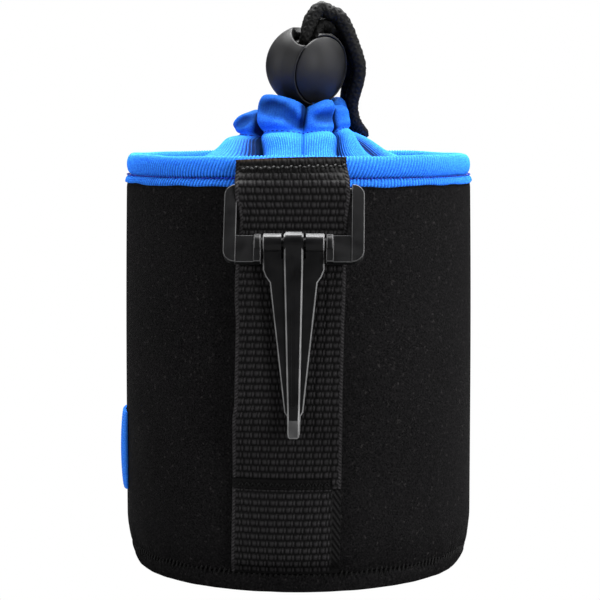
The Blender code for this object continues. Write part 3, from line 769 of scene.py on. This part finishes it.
def add_strap(webbing):
    """The webbing loop: woven rows between two edge beads, a sewn band and an under-layer low down."""
    half = STRAP_WIDTH / 2
    z = np.linspace(STRAP_FOOT, STRAP_TOP, 600)[:, None]
    across = np.linspace(-half, half, 175)[None, :]
    tilt = STRAP_TILT * smooth_step(z, 40, 96)
    height = z + tilt * across + 0.25 * (1 - (across / half) ** 2) * smooth_step(z, 88, 98)
    weave, narrow = weave_cells(across, height)

    from_middle = np.abs(across)
    edge = smooth_step(from_middle, half - 1.0, half - 0.7)
    bead = np.sqrt(np.clip(1 - ((from_middle - half + 0.5) / 0.55) ** 2, 0, 1))
    slant = 0.5 + 0.5 * np.sin(4 * pi * (height + 0.8 * from_middle) / WEAVE_ROW)
    bare = (1 - edge) * weave + edge * bead * (0.4 + 0.6 * slant)

    low, high = FOOT_BAND
    above_low = smooth_step(z, low - 0.2, low + 0.2)
    in_band = above_low * (1 - smooth_step(z, high - 0.2, high + 0.2))
    inner_edge = half - EDGE_BAND
    under = (1 - above_low) * smooth_step(across, inner_edge - 0.2, inner_edge + 0.2)
    twill = 0.5 + 0.5 * np.sin(2 * pi * (height + 1.5 * across) / 1.6)
    band = smooth_step(inner_edge - across, 0, 0.4) * in_band
    relief = WEAVE_DEPTH * (bare * (1 - 0.7 * band) * (1 - under) + 0.35 * twill * under)
    relief = relief - 0.3 * band - 0.35 * under

    sink = 1.3 * (1 - smooth_step(z, STRAP_FOOT, STRAP_FOOT + 3.2))
    ragged = 0.05 * edge * np.sign(across) * np.sin(4 * pi * height / WEAVE_ROW)
    x = strap_x(z) + across * strap_spread(z) + ragged
    y = strap_y(x, z, STRAP_THICKNESS - 0.2 + relief - sink)
    front = np.stack(np.broadcast_arrays(x, y, height), -1)
    across_rear = np.linspace(half - 0.1, -half + 0.1, 13)[None, :]
    x = strap_x(z) + across_rear * strap_spread(z)
    rear = np.stack(np.broadcast_arrays(x, strap_y(x, z, 0), z + tilt * across_rear), -1)
    strap = add_column("webbing_belt_loop", np.concatenate([front, rear], 1), webbing)

    singe = smooth_step(z + 0 * across, STRAP_TOP - 0.7, STRAP_TOP - 0.35)
    # Painted shade darkens the strap's end over the collar.
    painted_top_shade = 1 - 0.65 * smooth_step(height, STRAP_TOP - 6.0, STRAP_TOP - 2.5)
    # Painted light on the weave: lighter where the yarns are raised, more on the narrow yarns, near black
    # in the gaps.
    raised = np.clip(relief / WEAVE_DEPTH * (0.8 + 0.3 * narrow), 0, 1.0) * painted_top_shade
    for name, values in (("singe", singe), ("raised", raised)):
        values = np.pad(values, ((0, 0), (0, rear.shape[1])))
        store_values(strap, name, [*values.ravel(), 0.0, 0.0])
    place(strap, "pouch", "webbing_strap")


def strap_face(across, z, lift):
    """A point proud of the strap's front face."""
    x = strap_x(z) + across
    return Vector((x, strap_y(x, z, STRAP_THICKNESS + lift), z))


# Stitching


def add_stitches(name, pairs, radius, bow, thread, node):
    """Short arched threads, each from its start to its end, bowed along its own outward direction."""
    sides, steps = 6, 6
    points, faces = [], []
    for start, end, outward in pairs:
        across = (end - start).normalized().cross(outward).normalized()
        first = len(points)
        for i in range(steps + 1):
            arch = sin(pi * i / steps)
            middle = start.lerp(end, i / steps) + outward * bow * arch
            thick = radius * (0.55 + 0.45 * arch)
            for j in range(sides):
                turn = 2 * pi * j / sides
                points.append(middle + thick * (cos(turn) * across + sin(turn) * outward))
        last = first + steps * sides
        faces += (grid_faces(steps + 1, sides, wrap_columns=True) + first).tolist()
        faces += [tuple(range(first, first + sides)), tuple(range(last, last + sides))]
    finish, slot = thread
    place(make_object(name, points, faces, finish), "pouch", node)


def ring_stitches(radius, z, count, share, slant=0.0, tall=0.0):
    """Start, end and outward direction of stitches round a ring."""
    half = share * pi / count
    pairs = []
    for a in around(count):
        start, end = turned(radius, (z - tall / 2, z + tall / 2), (a - half, a + half + slant))
        pairs.append((Vector(start), Vector(end), Vector((sin(a), -cos(a), 0))))
    return pairs


def add_threads(black, seam, blue):
    """Every row of stitches but the one on the hood."""
    front = Vector((0, -1, 0))
    top = []
    for i in range(12):
        x = -11.0 + i * 1.95
        for start, end, rise in ((x, x + 0.75, 0.0), (x + 0.95, x + 1.6, 0.45)):
            ends = ((start, STRAP_TILT * start), (end, STRAP_TILT * end + rise))
            top.append((*[strap_face(at, TOP_STITCHES + up, 0.15) for at, up in ends], front))
    add_stitches("strap_top_stitches", top, 0.24, 0.2, black, "strap_top_thread")

    zigzag = []
    low, high = FOOT_BAND[0] + 0.5, FOOT_BAND[1] - 0.9
    for i in range(15):
        x = -11.0 + i * 1.38
        corners = [strap_face(*at, -0.35) for at in ((x, low), (x + 0.7, high), (x + 1.38, low))]
        zigzag += [(*corners[:2], front), (*corners[1:], front)]
    add_stitches("strap_foot_stitches", zigzag, 0.18, 0.12, seam, "strap_foot_thread")

    collar = ring_stitches(41.15, 93.72, 210, 0.62)
    add_stitches("collar_seam_stitches", collar, 0.16, 0.2, blue, "collar_thread")
    radius = float(wall_radius(BASE_SEAM)) - 0.25
    base = ring_stitches(radius, BASE_SEAM, BASE_STITCHES, 0.3, 0.014, 2.6)
    add_stitches("base_seam_stitches", base, 0.3, 0.18, seam, "base_thread")

    side = []
    turn = radians(-94.5)
    out = Vector((sin(turn), -cos(turn), 0))
    for i in range(52):
        z = 9.5 + i * 1.58
        start = (float(wall_radius(z + 0.5)) + 0.02) * out + Vector((0, 0, z))
        side.append((start, start + Vector((0, 0, 1.15)), out))
    add_stitches("side_seam_stitches", side, 0.16, 0.15, seam, "side_seam_thread")


def add_channel_stitches(hood_points, blue):
    """A dark line of stitches that follows the hood's folds below its lip."""
    ring = hood_points[round(SEAM_STATION * (len(hood_points) - 1) / (len(RIDGE) - 1))]
    pairs = []
    for i in range(0, len(ring) - 9, 13):
        start, end = Vector(ring[i]), Vector(ring[i + 8])
        out = Vector((start.x - NECK[0], start.y - NECK[1], 0)).normalized()
        pairs.append((start, end, out))
    add_stitches("hood_channel_stitches", pairs, 0.15, 0.2, blue, "channel_thread")


def add_side_tab(jersey):
    """A folded strip of ribbed jersey, pinched at both ends by its stitching."""
    low, high = TAB_HEIGHTS
    turns = np.linspace(*TAB_ANGLES, 28)
    bulge = 1.3 * (1 - np.abs(np.linspace(-1, 1, 28)) ** 5) ** 0.5
    rings = []
    for z in np.linspace(low, high, 150):
        share = (z - low) / (high - low)
        swell = 0.5 + 0.5 * sin(pi * share) ** 0.6 + 0.04 * cos(2 * pi * z / 0.62)
        base = float(wall_radius(z)) + 0.15
        behind = turned(base, z, turns[::-1])
        rings.append(np.concatenate([turned(base + swell * bulge, z, turns), behind[1:-1]]))
    tab = add_column("side_seam_tab", rings, jersey)
    # The tab is darker all over, by the same mix as the painted shade.
    store_values(tab, "painted_shade", np.full(len(tab.data.vertices), 0.35))
    place(tab, "pouch", "side_tab")


# Plastics


def rod(name, start, end, radius, highlight_above=NO_HIGHLIGHT):
    bm = bmesh.new()
    start, end = Vector(start), Vector(end)
    along = end - start
    turn = Vector((0, 0, 1)).rotation_difference(along).to_matrix().to_4x4()
    placed = Matrix.Translation((start + end) / 2) @ turn
    size = {"radius1": radius, "radius2": radius, "depth": along.length}
    bmesh.ops.create_cone(bm, cap_ends=True, segments=48, matrix=placed, **size)
    bm.normal_update()
    # Faces that look up more than the limit take the edge slot, for a painted highlight on the rod's top.
    for face in bm.faces:
        if face.normal.z > highlight_above:
            face.material_index = EDGE_SLOT
    return helper_from(name, bm)


def pin(name, half_length, z, radius, highlight_above=NO_HIGHLIGHT):
    """A rod along X, with its middle at X 0."""
    return rod(name, (-half_length, 0, z), (half_length, 0, z), radius, highlight_above)


def plate(name, outline, low, high):
    """A plate in the XZ plane between two values of Y, from a closed outline of (x, z)."""
    bm = bmesh.new()
    rings = [[bm.verts.new((x, y, z)) for x, z in outline] for y in (low, high)]
    bm.faces.new(rings[0])
    bm.faces.new(list(reversed(rings[1])))
    for i in range(len(outline)):
        j = (i + 1) % len(outline)
        bm.faces.new((rings[0][j], rings[0][i], rings[1][i], rings[1][j]))
    return helper_from(name, bm)


def slab(name, low, high):
    bm = bmesh.new()
    low, high = Vector(low), Vector(high)
    placed = Matrix.Translation((low + high) / 2) @ Matrix.Diagonal((*(high - low), 1))
    bmesh.ops.create_cube(bm, size=1, matrix=placed)
    return helper_from(name, bm)


def helper_from(name, bm):
    """A hidden object in millimetres, for a Boolean to use."""
    bmesh.ops.recalc_face_normals(bm, faces=bm.faces)
    mesh = bpy.data.meshes.new(name)
    bm.to_mesh(mesh)
    bm.free()
    for _ in WEAR_AND_HIGHLIGHT:
        mesh.materials.append(None)
    obj = bpy.data.objects.new(name, mesh)
    obj.hide_render = True
    bpy.context.scene.collection.objects.link(obj)
    return obj


def soften(obj, width, segments=1):
    bevel = obj.modifiers.new("soften", "BEVEL")
    bevel.width = width
    bevel.segments = segments
    bevel.limit_method = "ANGLE"
    bevel.angle_limit = radians(50)
    bevel.use_clamp_overlap = True
    # The bevel's faces take the edge slot, which the finish paints paler: partly wear, partly painted
    # highlight.
    bevel.material = EDGE_SLOT
    return obj


def combine(obj, others, operation):
    for other in others:
        joined = obj.modifiers.new(other.name, "BOOLEAN")
        joined.operation = operation
        joined.object = other


def finished(name, obj, helpers, placing, finish, sharp=38):
    """Applies the modifiers, removes the helpers, and places the result in metres."""
    bpy.context.view_layer.update()
    graph = bpy.context.evaluated_depsgraph_get()
    mesh = bpy.data.meshes.new_from_object(obj.evaluated_get(graph))
    for helper in [obj, *helpers]:
        bpy.data.objects.remove(helper)
    mesh.transform(Matrix.Scale(MM, 4) @ placing)
    # Each face's share of the paler colour, from its slot: wear on the edges and a painted highlight.
    edge = mesh.attributes.new("edge", "FLOAT", "FACE")
    edge.data.foreach_set("value", [WEAR_AND_HIGHLIGHT[face.material_index] for face in mesh.polygons])
    mesh.materials.clear()
    made = wrap_mesh(name, mesh, finish)
    made.data.set_sharp_from_angle(angle=radians(sharp))
    return made


def arc(centre, radius, start, end, steps):
    angles = [start + (end - start) * i / steps for i in range(steps + 1)]
    return [(centre[0] + radius * cos(a), centre[1] + radius * sin(a)) for a in angles]


def frame_bar_outline(side):
    """An upright side bar of the frame, with its rounded corners, as (across, up)."""
    bottom, top, corner = FRAME_BOTTOM, -1.3, 2.6
    middle = FRAME_HALF_WIDTH - corner
    corners = arc((middle, bottom - corner), corner, pi / 2, 0, 12)
    corners += arc((middle, top + corner), corner, 0, -pi / 2, 12)
    ends = [(WINDOW_HALF_WIDTH, top), (WINDOW_HALF_WIDTH, bottom)]
    return [(side * x, -down) for x, down in [*corners, *ends]]


def frame_foot_outline(side, inner, outer, shoulder):
    """A rectangle between two distances from the middle, from a shoulder down to the frame's bottom."""
    bottom = FRAME_BOTTOM - 0.05
    corners = [(inner, shoulder), (inner, bottom), (outer, bottom), (outer, shoulder)]
    return [(side * x, -down) for x, down in corners]


def add_clip_frame(plastic):
    """Two side bars, each with a thinner foot that ends in a block and a boss beside the clip."""
    down = HINGE - TOP_BAR
    reach = down.length
    bars = [plate("bar", frame_bar_outline(side), -1.25, 1.25) for side in (-1, 1)]
    base, other_bar = (soften(bar, 0.3) for bar in bars)
    helpers = [
        other_bar,
        pin("top_bar", WINDOW_HALF_WIDTH + 1.2, 0, 0.85),
        pin("hinge_bar", HINGE_HALF_WIDTH + 0.8, -reach, 1.2),
    ]
    block_edge = HINGE_HALF_WIDTH + 1.7
    for side in (-1, 1):
        foot = frame_foot_outline(side, block_edge - 0.4, WINDOW_HALF_WIDTH + 0.5, 10.6)
        block = frame_foot_outline(side, HINGE_HALF_WIDTH, block_edge, 11.8)
        start, end = ((side * x, 0, -reach) for x in (HINGE_HALF_WIDTH, HINGE_HALF_WIDTH + 1.6))
        helpers += [
            soften(plate("foot", foot, -0.75, 1.1), 0.15),
            soften(plate("block", block, -1.2, 1.1), 0.2),
            soften(rod("boss", start, end, 2.0, BOSS_HIGHLIGHT), 0.3, 3),
        ]
    combine(base, helpers, "UNION")
    lean = Matrix.Rotation(-acos(-down.z / reach), 4, "X")
    placing = Matrix.Translation(TOP_BAR) @ lean
    made = finished("clip_frame_moulding", base, helpers, placing, plastic)
    place(made, "webbing_frame", "clip_frame")


def clip_outline():
    """The tongue's outline as (across, up): wide at the hinge, then a step in and a long taper."""
    shoulder = [(CLIP_HALF_WIDTH, -1.0), (CLIP_HALF_WIDTH, -5.9), (6.2, -7.3), (5.25, -8.7)]
    tip = [(2.1, -37.4), (1.5, -38.3), (1.35, -CLIP_LENGTH + 0.8), (0.8, -CLIP_LENGTH)]
    right = [*shoulder, *tip]
    return [*right, *[(-x, z) for x, z in reversed(right)]]


def clip_rib():
    """The tongue's raised middle, as a tapering column of cross-sections whose tip turns forward."""
    # (height, half its width, how far forward its face is)
    stations = [
        (0.4, 2.1, -1.85), (-4.0, 2.1, -1.92), (-20.0, 1.75, -1.95), (-36.0, 1.4, -2.2),
        (-39.0, 1.35, -2.6), (-41.6, 1.35, -3.2), (-43.0, 1.2, -3.1),
    ]
    bm = bmesh.new()
    rings = []
    for z, half, front in stations:
        back = front + 1.4 if z < -39 else 0.6
        corners = [(-half, front), (half, front), (half, back), (-half, back)]
        rings.append([bm.verts.new((x, y, z)) for x, y in corners])
    for above, below, (z, _, _) in zip(rings, rings[1:], stations):
        for j in range(4):
            face = bm.faces.new((above[j], above[(j + 1) % 4], below[(j + 1) % 4], below[j]))
            face.material_index = SCUFFED_SLOT if z < -36.5 else 0
    bm.faces.new(rings[0])
    bm.faces.new(list(reversed(rings[-1])))
    return helper_from("rib", bm)


def add_belt_clip(plastic):
    """A flat tongue with a raised rib, three knuckles with slots between, and a bore for the bar."""
    edge, middle, slot, raised = CLIP_HALF_WIDTH, 1.8, 0.55, 0.35
    tongue = soften(plate("tongue", clip_outline(), -1.05, 1.05), 0.28)
    joined = [
        soften(clip_rib(), 0.35),
        soften(pin("knuckles", edge, 0, KNUCKLE_RADIUS, KNUCKLE_HIGHLIGHT), 0.25, 3),
        pin("middle_knuckle", middle, raised, KNUCKLE_RADIUS + 0.02, KNUCKLE_HIGHLIGHT),
    ]
    gutter = slab("gutter", (-0.45, -3.0, -36.0), (0.25, -1.86, -3.2))
    cut = [gutter, pin("bore", 2 * edge, 0, 1.5)]
    for side in (-1, 1):
        start, end = sorted((side * (middle + 0.35), side * (middle + 0.35 + slot)))
        cut.append(slab("slot", (start, -5, -3.4), (end, 5, 5)))
    combine(tongue, joined, "UNION")
    combine(tongue, cut, "DIFFERENCE")
    placing = Matrix.Translation(HINGE)
    made = finished("belt_clip_tongue", tongue, [*joined, *cut], placing, plastic)
    place(made, "clip", "belt_clip")


def lathe(name, profile):
    """A helper turned about X from a profile of (along, radius) that starts and ends on the axis."""
    bm = bmesh.new()
    inner = profile[1:-1]
    rings = [[bm.verts.new((x, r * cos(a), r * sin(a))) for x, r in inner] for a in around(96)]
    first, last = (bm.verts.new((profile[end][0], 0, 0)) for end in (0, -1))
    for here, there in zip(rings, rings[1:] + rings[:1]):
        for j in range(len(inner) - 1):
            bm.faces.new((here[j], here[j + 1], there[j + 1], there[j]))
        bm.faces.new((here[0], there[0], first))
        bm.faces.new((here[-1], there[-1], last))
    return helper_from(name, bm)


def ball(name, centre, radius):
    bm = bmesh.new()
    placed = Matrix.Translation(centre)
    bmesh.ops.create_uvsphere(bm, u_segments=64, v_segments=40, radius=radius, matrix=placed)
    return helper_from(name, bm)


def mould(obj, rounds):
    """Remeshes finely and relaxes, which rounds each edge as a mould does."""
    remesh = obj.modifiers.new("remesh", "REMESH")
    remesh.mode = "VOXEL"
    remesh.voxel_size = MOULD_DETAIL
    relax = obj.modifiers.new("relax", "SMOOTH")
    relax.factor = 0.5
    relax.iterations = rounds


def barrel_profile():
    """The ball's back, its rim, and the bore that holds the plunger and the spring."""
    back = []
    for i in range(23):
        turn = i * pi / 40
        back.append((-LOCK_RADIUS * cos(turn), LOCK_RADIUS * sin(turn)))
    rim = [(3.8, 9.08), (4.6, 8.88), (5.1, 8.66), (5.25, 8.45), (5.1, 8.2)]
    bore = [(1.0, 8.2), (-0.6, 6.4), (-6.4, 6.4), (-6.4, 3.2), (-8.7, 3.2), (-8.7, 0)]
    return [*back, *rim, *bore]


def plunger_profile():
    """A stem with a wider, domed button."""
    button, stem, rise, edge = 8.0, 5.9, 2.9, 5.3
    sphere = (button**2 + rise**2) / (2 * rise)
    dome = []
    for i in range(17):
        r = button * (1 - i / 16)
        dome.append((edge + rise - sphere + sqrt(sphere**2 - r**2), r))
    return [(-3.1, 0), (-3.1, stem), (4.5, stem), (4.7, button), *dome]


def lock_place():
    """From the lock's own axes, where X is its press axis and Z its cord hole, to the pouch's."""
    turn = Matrix.Rotation(LOCK_TURN, 4, "Z") @ Matrix.Rotation(LOCK_TIP, 4, "Y")
    return Matrix.Translation(LOCK_CENTRE) @ turn


def add_cord_lock(plastic):
    """The ball with its cord hole, opened out at both ends and notched at the front, and its button."""
    placing = lock_place()
    barrel = lathe("barrel", barrel_profile())
    notch = [placing.inverted() @ Vector((1.9, y, 127.4)) for y in (-2, -16)]
    cuts = [
        rod("cord_hole", (0, 0, -20), (0, 0, 20), 3.5),
        ball("scoop_low", (0, 0, -12.6), 6.2),
        ball("scoop_high", (0, 0, 12.6), 6.2),
        rod("notch", *notch, 3.2),
    ]
    combine(barrel, cuts, "DIFFERENCE")
    mould(barrel, 4)
    made = finished("cord_lock_moulded_barrel", barrel, cuts, placing, plastic, 180)
    place(made, "cord_lock", "cord_lock_barrel")

    plunger = lathe("plunger", plunger_profile())
    cuts = [slab("cord_slot", (-1.65, -3.25, -20), (4.65, 3.25, 20))]
    combine(plunger, cuts, "DIFFERENCE")
    mould(plunger, 2)
    made = finished("cord_lock_domed_plunger", plunger, cuts, placing, plastic, 180)
    place(made, "plunger", "cord_lock_plunger")


# Cord


def strand_point(side, height):
    """A strand's middle inside the cord lock, at this height along the cord hole."""
    return lock_place() @ Vector((0, side * 1.6, height))


def cord_knots():
    """The cord's line: from behind the hood over the lock, down, round the neck, and up over it again."""
    over_back = [
        (5.2, -1.0, 129.3), (7.6, 0.3, 129.2), (9.9, 2.3, 127.6), (11.4, 3.2, 124.7),
        (12.4, 3.6, 120.5), (12.2, 4.6, 116.5), (11.6, 6.2, 111.6), (11.9, 7.4, 108.3),
        (12.6, 8.9, 105.8), (12.0, 12.0, 104.3), (8.8, 13.6, 104.2),
    ]
    over_front = [
        (2.7, -3.6, 129.5), (4.1, -3.0, 132.0), (5.6, -2.4, 133.2), (7.5, -2.0, 132.4),
        (9.65, -1.5, 131.4), (11.2, -0.9, 129.2), (12.6, -0.3, 125.8), (14.4, 0.6, 120.3),
        (14.2, 1.6, 116.5), (12.9, 3.2, 111.6), (13.1, 4.4, 108.2), (13.9, 6.0, 105.7),
        (14.9, 9.4, 104.1), (15.4, 13.0, 103.1), (13.6, 16.5, 102.6),
    ]
    around_neck = []
    for i in range(10):
        a = radians(22 + 270 * i / 9)
        around_neck.append(Vector((NECK[0] + 7.85 * cos(a), NECK[1] + 7.85 * sin(a), 106.2)))
    strands = []
    for side, start in ((1, around_neck[0]), (-1, around_neck[-1])):
        rising = [strand_point(side, height) for height in (-12.6, -7.6, -2.6, 2.4, 7.0)]
        foot = rising[0]
        inward = Vector((foot.x - start.x, foot.y - start.y, 0))
        below = Vector((start.x, start.y, 103.4)) - 0.04 * inward
        under = Vector((start.x, start.y, 101.6)) + 0.5 * inward
        mouth = Vector((foot.x, foot.y, 103.4))
        strands.append([below, under, mouth, *rising])
    knots = [*reversed(over_back), *reversed(strands[0]), *around_neck, *strands[1], *over_front]
    return [tuple(knot) for knot in knots]


def follow(path, spacing):
    """Evenly spaced points along a path, how far along each is, and two directions across it there."""
    lengths = np.concatenate([[0], np.cumsum(np.linalg.norm(np.diff(path, axis=0), axis=1))])
    along = np.arange(0, lengths[-1], spacing)
    centre = np.stack([np.interp(along, lengths, path[:, k]) for k in range(3)], -1)
    tangent = np.gradient(centre, axis=0)
    tangent /= np.linalg.norm(tangent, axis=1)[:, None]
    normal = np.zeros_like(tangent)
    current = np.array([0.3, 0.8, 0.5])
    for i, t in enumerate(tangent):
        current = current - t * current.dot(t)
        current /= np.linalg.norm(current)
        normal[i] = current
    return centre, along[:, None], normal, np.cross(tangent, normal)


def add_cord(braid):
    """A round braid: strands that cross over one another in two directions along the tube."""
    centre, along, normal, side = follow(smooth_steps(cord_knots(), 14), 0.16)
    turn = around(40)[None, :]
    strands_round, advance = 4 * turn, 4 * pi * along / BRAID_PITCH
    wave_a, wave_b = np.sin(strands_round + advance), np.sin(strands_round - advance)
    relief = 0.17 * (np.maximum(wave_a, wave_b) ** 2 + 0.4 * wave_a * wave_b)
    from_lock = np.linalg.norm(centre - np.array(LOCK_CENTRE), axis=1)[:, None]
    outside_lock = smooth_step(from_lock, 7.5, 11.0) * smooth_step(centre[:, 2:], 108, 113)
    radius = CORD_RADIUS - 0.1 + CORD_SLACK * outside_lock + relief
    ring = np.cos(turn)[..., None] * normal[:, None, :] + np.sin(turn)[..., None] * side[:, None, :]
    cord = add_column("braided_drawstring", centre[:, None, :] + radius[..., None] * ring, braid)
    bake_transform(cord)
    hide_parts("drawstring")


# Studio


def seen_apart(tree, lighting, seen, output):
    """Shows one shader to the camera, and lights everything else with the other."""
    path = add_node(tree, "ShaderNodeLightPath")
    mixed = add_node(tree, "ShaderNodeMixShader")
    sources = (path.outputs["Is Camera Ray"], lighting.outputs[0], seen.outputs[0])
    for source, socket in zip(sources, mixed.inputs):
        tree.links.new(source, socket)
    tree.links.new(mixed.outputs[0], output.inputs["Surface"])


def add_world():
    scene = bpy.context.scene
    scene.world = bpy.data.worlds.new("studio")
    scene.world.use_nodes = True
    tree = scene.world.node_tree
    tree.nodes.clear()
    white = (1, 1, 1, 1)
    lighting = add_node(tree, "ShaderNodeBackground", Color=white, Strength=0.06)
    backdrop = add_node(tree, "ShaderNodeBackground", Color=white, Strength=1.0)
    seen_apart(tree, lighting, backdrop, add_node(tree, "ShaderNodeOutputWorld"))
    scene.view_settings.view_transform = "Standard"


def add_floor():
    """A pale floor that looks plain white to the camera."""
    finish, tree, shader = new_material("pale_floor", grey(0.16), 0.9)
    speckle = ramp(tree, object_noise(tree, 40), [(0.3, grey(0.15)), (0.7, grey(0.17))])
    link(tree, shader, Base_Color=speckle)
    lit = add_node(tree, "ShaderNodeEmission", Strength=1.0)
    seen_apart(tree, shader, lit, tree.nodes["Material Output"])
    square = ((-1, -1), (1, -1), (1, 1), (-1, 1))
    corners = [(x * FLOOR_REACH, y * FLOOR_REACH, FLOOR_HEIGHT) for x, y in square]
    make_object("studio_floor", corners, [(0, 1, 2, 3)], finish)


def add_softbox(name, place_at, aim_height, size, power):
    light = bpy.data.lights.new(name, "AREA")
    light.shape = "RECTANGLE"
    light.size, light.size_y = size[0] * MM, size[1] * MM
    light.energy = power
    obj = bpy.data.objects.new(name, light)
    obj.location = Vector(place_at) * MM
    aim = Vector((0, 0, aim_height)) - Vector(place_at)
    obj.rotation_euler = aim.to_track_quat("-Z", "Y").to_euler()
    bpy.context.scene.collection.objects.link(obj)


def add_camera():
    data = bpy.data.cameras.new("camera")
    data.sensor_width = 36.0
    data.lens = CAMERA_LENS
    data.shift_x = CAMERA_SHIFT
    data.clip_start, data.clip_end = 0.01, 20.0
    camera = bpy.data.objects.new("camera", data)
    x, y = CAMERA_DISTANCE * sin(CAMERA_AZIMUTH), -CAMERA_DISTANCE * cos(CAMERA_AZIMUTH)
    camera.location = Vector((x, y, CAMERA_HEIGHT)) * MM
    camera.rotation_euler = (pi / 2 - CAMERA_PITCH, 0, CAMERA_AZIMUTH)
    bpy.context.scene.collection.objects.link(camera)
    bpy.context.scene.camera = camera


def add_pieces():
    neoprene = neoprene_finish()
    jersey = jersey_finish("ribbed_jersey", (0.016, 0.12, 0.75), (0.038, 0.26, 0.93), 0.03)
    lining = jersey_finish("lining_jersey", (0.005, 0.04, 0.5), (0.008, 0.06, 0.7), 0.05)
    black = thread_finish("black_thread", grey(0.006), grey(0.02))
    blue = thread_finish("blue_thread", (0.002, 0.008, 0.12), (0.004, 0.02, 0.35))
    braid = thread_finish("braided_cord", grey(0.0015), grey(0.005), 0.08)
    seam = thread_finish("seam_thread", grey(0.002), grey(0.007), 0.05)
    satin = plastic_finish("satin_plastic", (0.004, 0.004, 0.0042), 0.5, 0.1, 0.17, grey(0.01))
    soot = (0.002, 0.002, 0.0022)
    dull = plastic_finish("frame_plastic", soot, 0.4, 0.2, 0.14, (0.06, 0.06, 0.061))
    gloss = plastic_finish("clip_plastic", soot, 0.32, 0.12, 0.14, (0.15, 0.15, 0.152))
    blue_rows = (blue, "blue_thread")

    add_wall(neoprene)
    add_base(neoprene)
    add_linings(lining)
    add_collar_roll(jersey)
    add_collar_hem(jersey)
    add_channel_stitches(add_hood(jersey), blue_rows)
    add_strap(webbing_finish())
    add_threads((black, "black_thread"), (seam, "black_thread"), blue_rows)
    add_side_tab(jersey)
    add_clip_frame(dull)
    add_belt_clip(gloss)
    add_cord_lock(satin)
    add_cord(braid)


def finish_spring():
    """The spring keeps its CAD mesh, on a copy of its own, in steel. The real spring squashes as the
    plunger is pressed.
    """
    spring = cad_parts["cord_lock_spring"]
    spring.data.materials.clear()
    spring.data.materials.append(steel_finish())
    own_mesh(spring)


add_pieces()
finish_spring()
add_world()
add_floor()
for softbox in SOFTBOXES:
    add_softbox(*softbox)
add_camera()
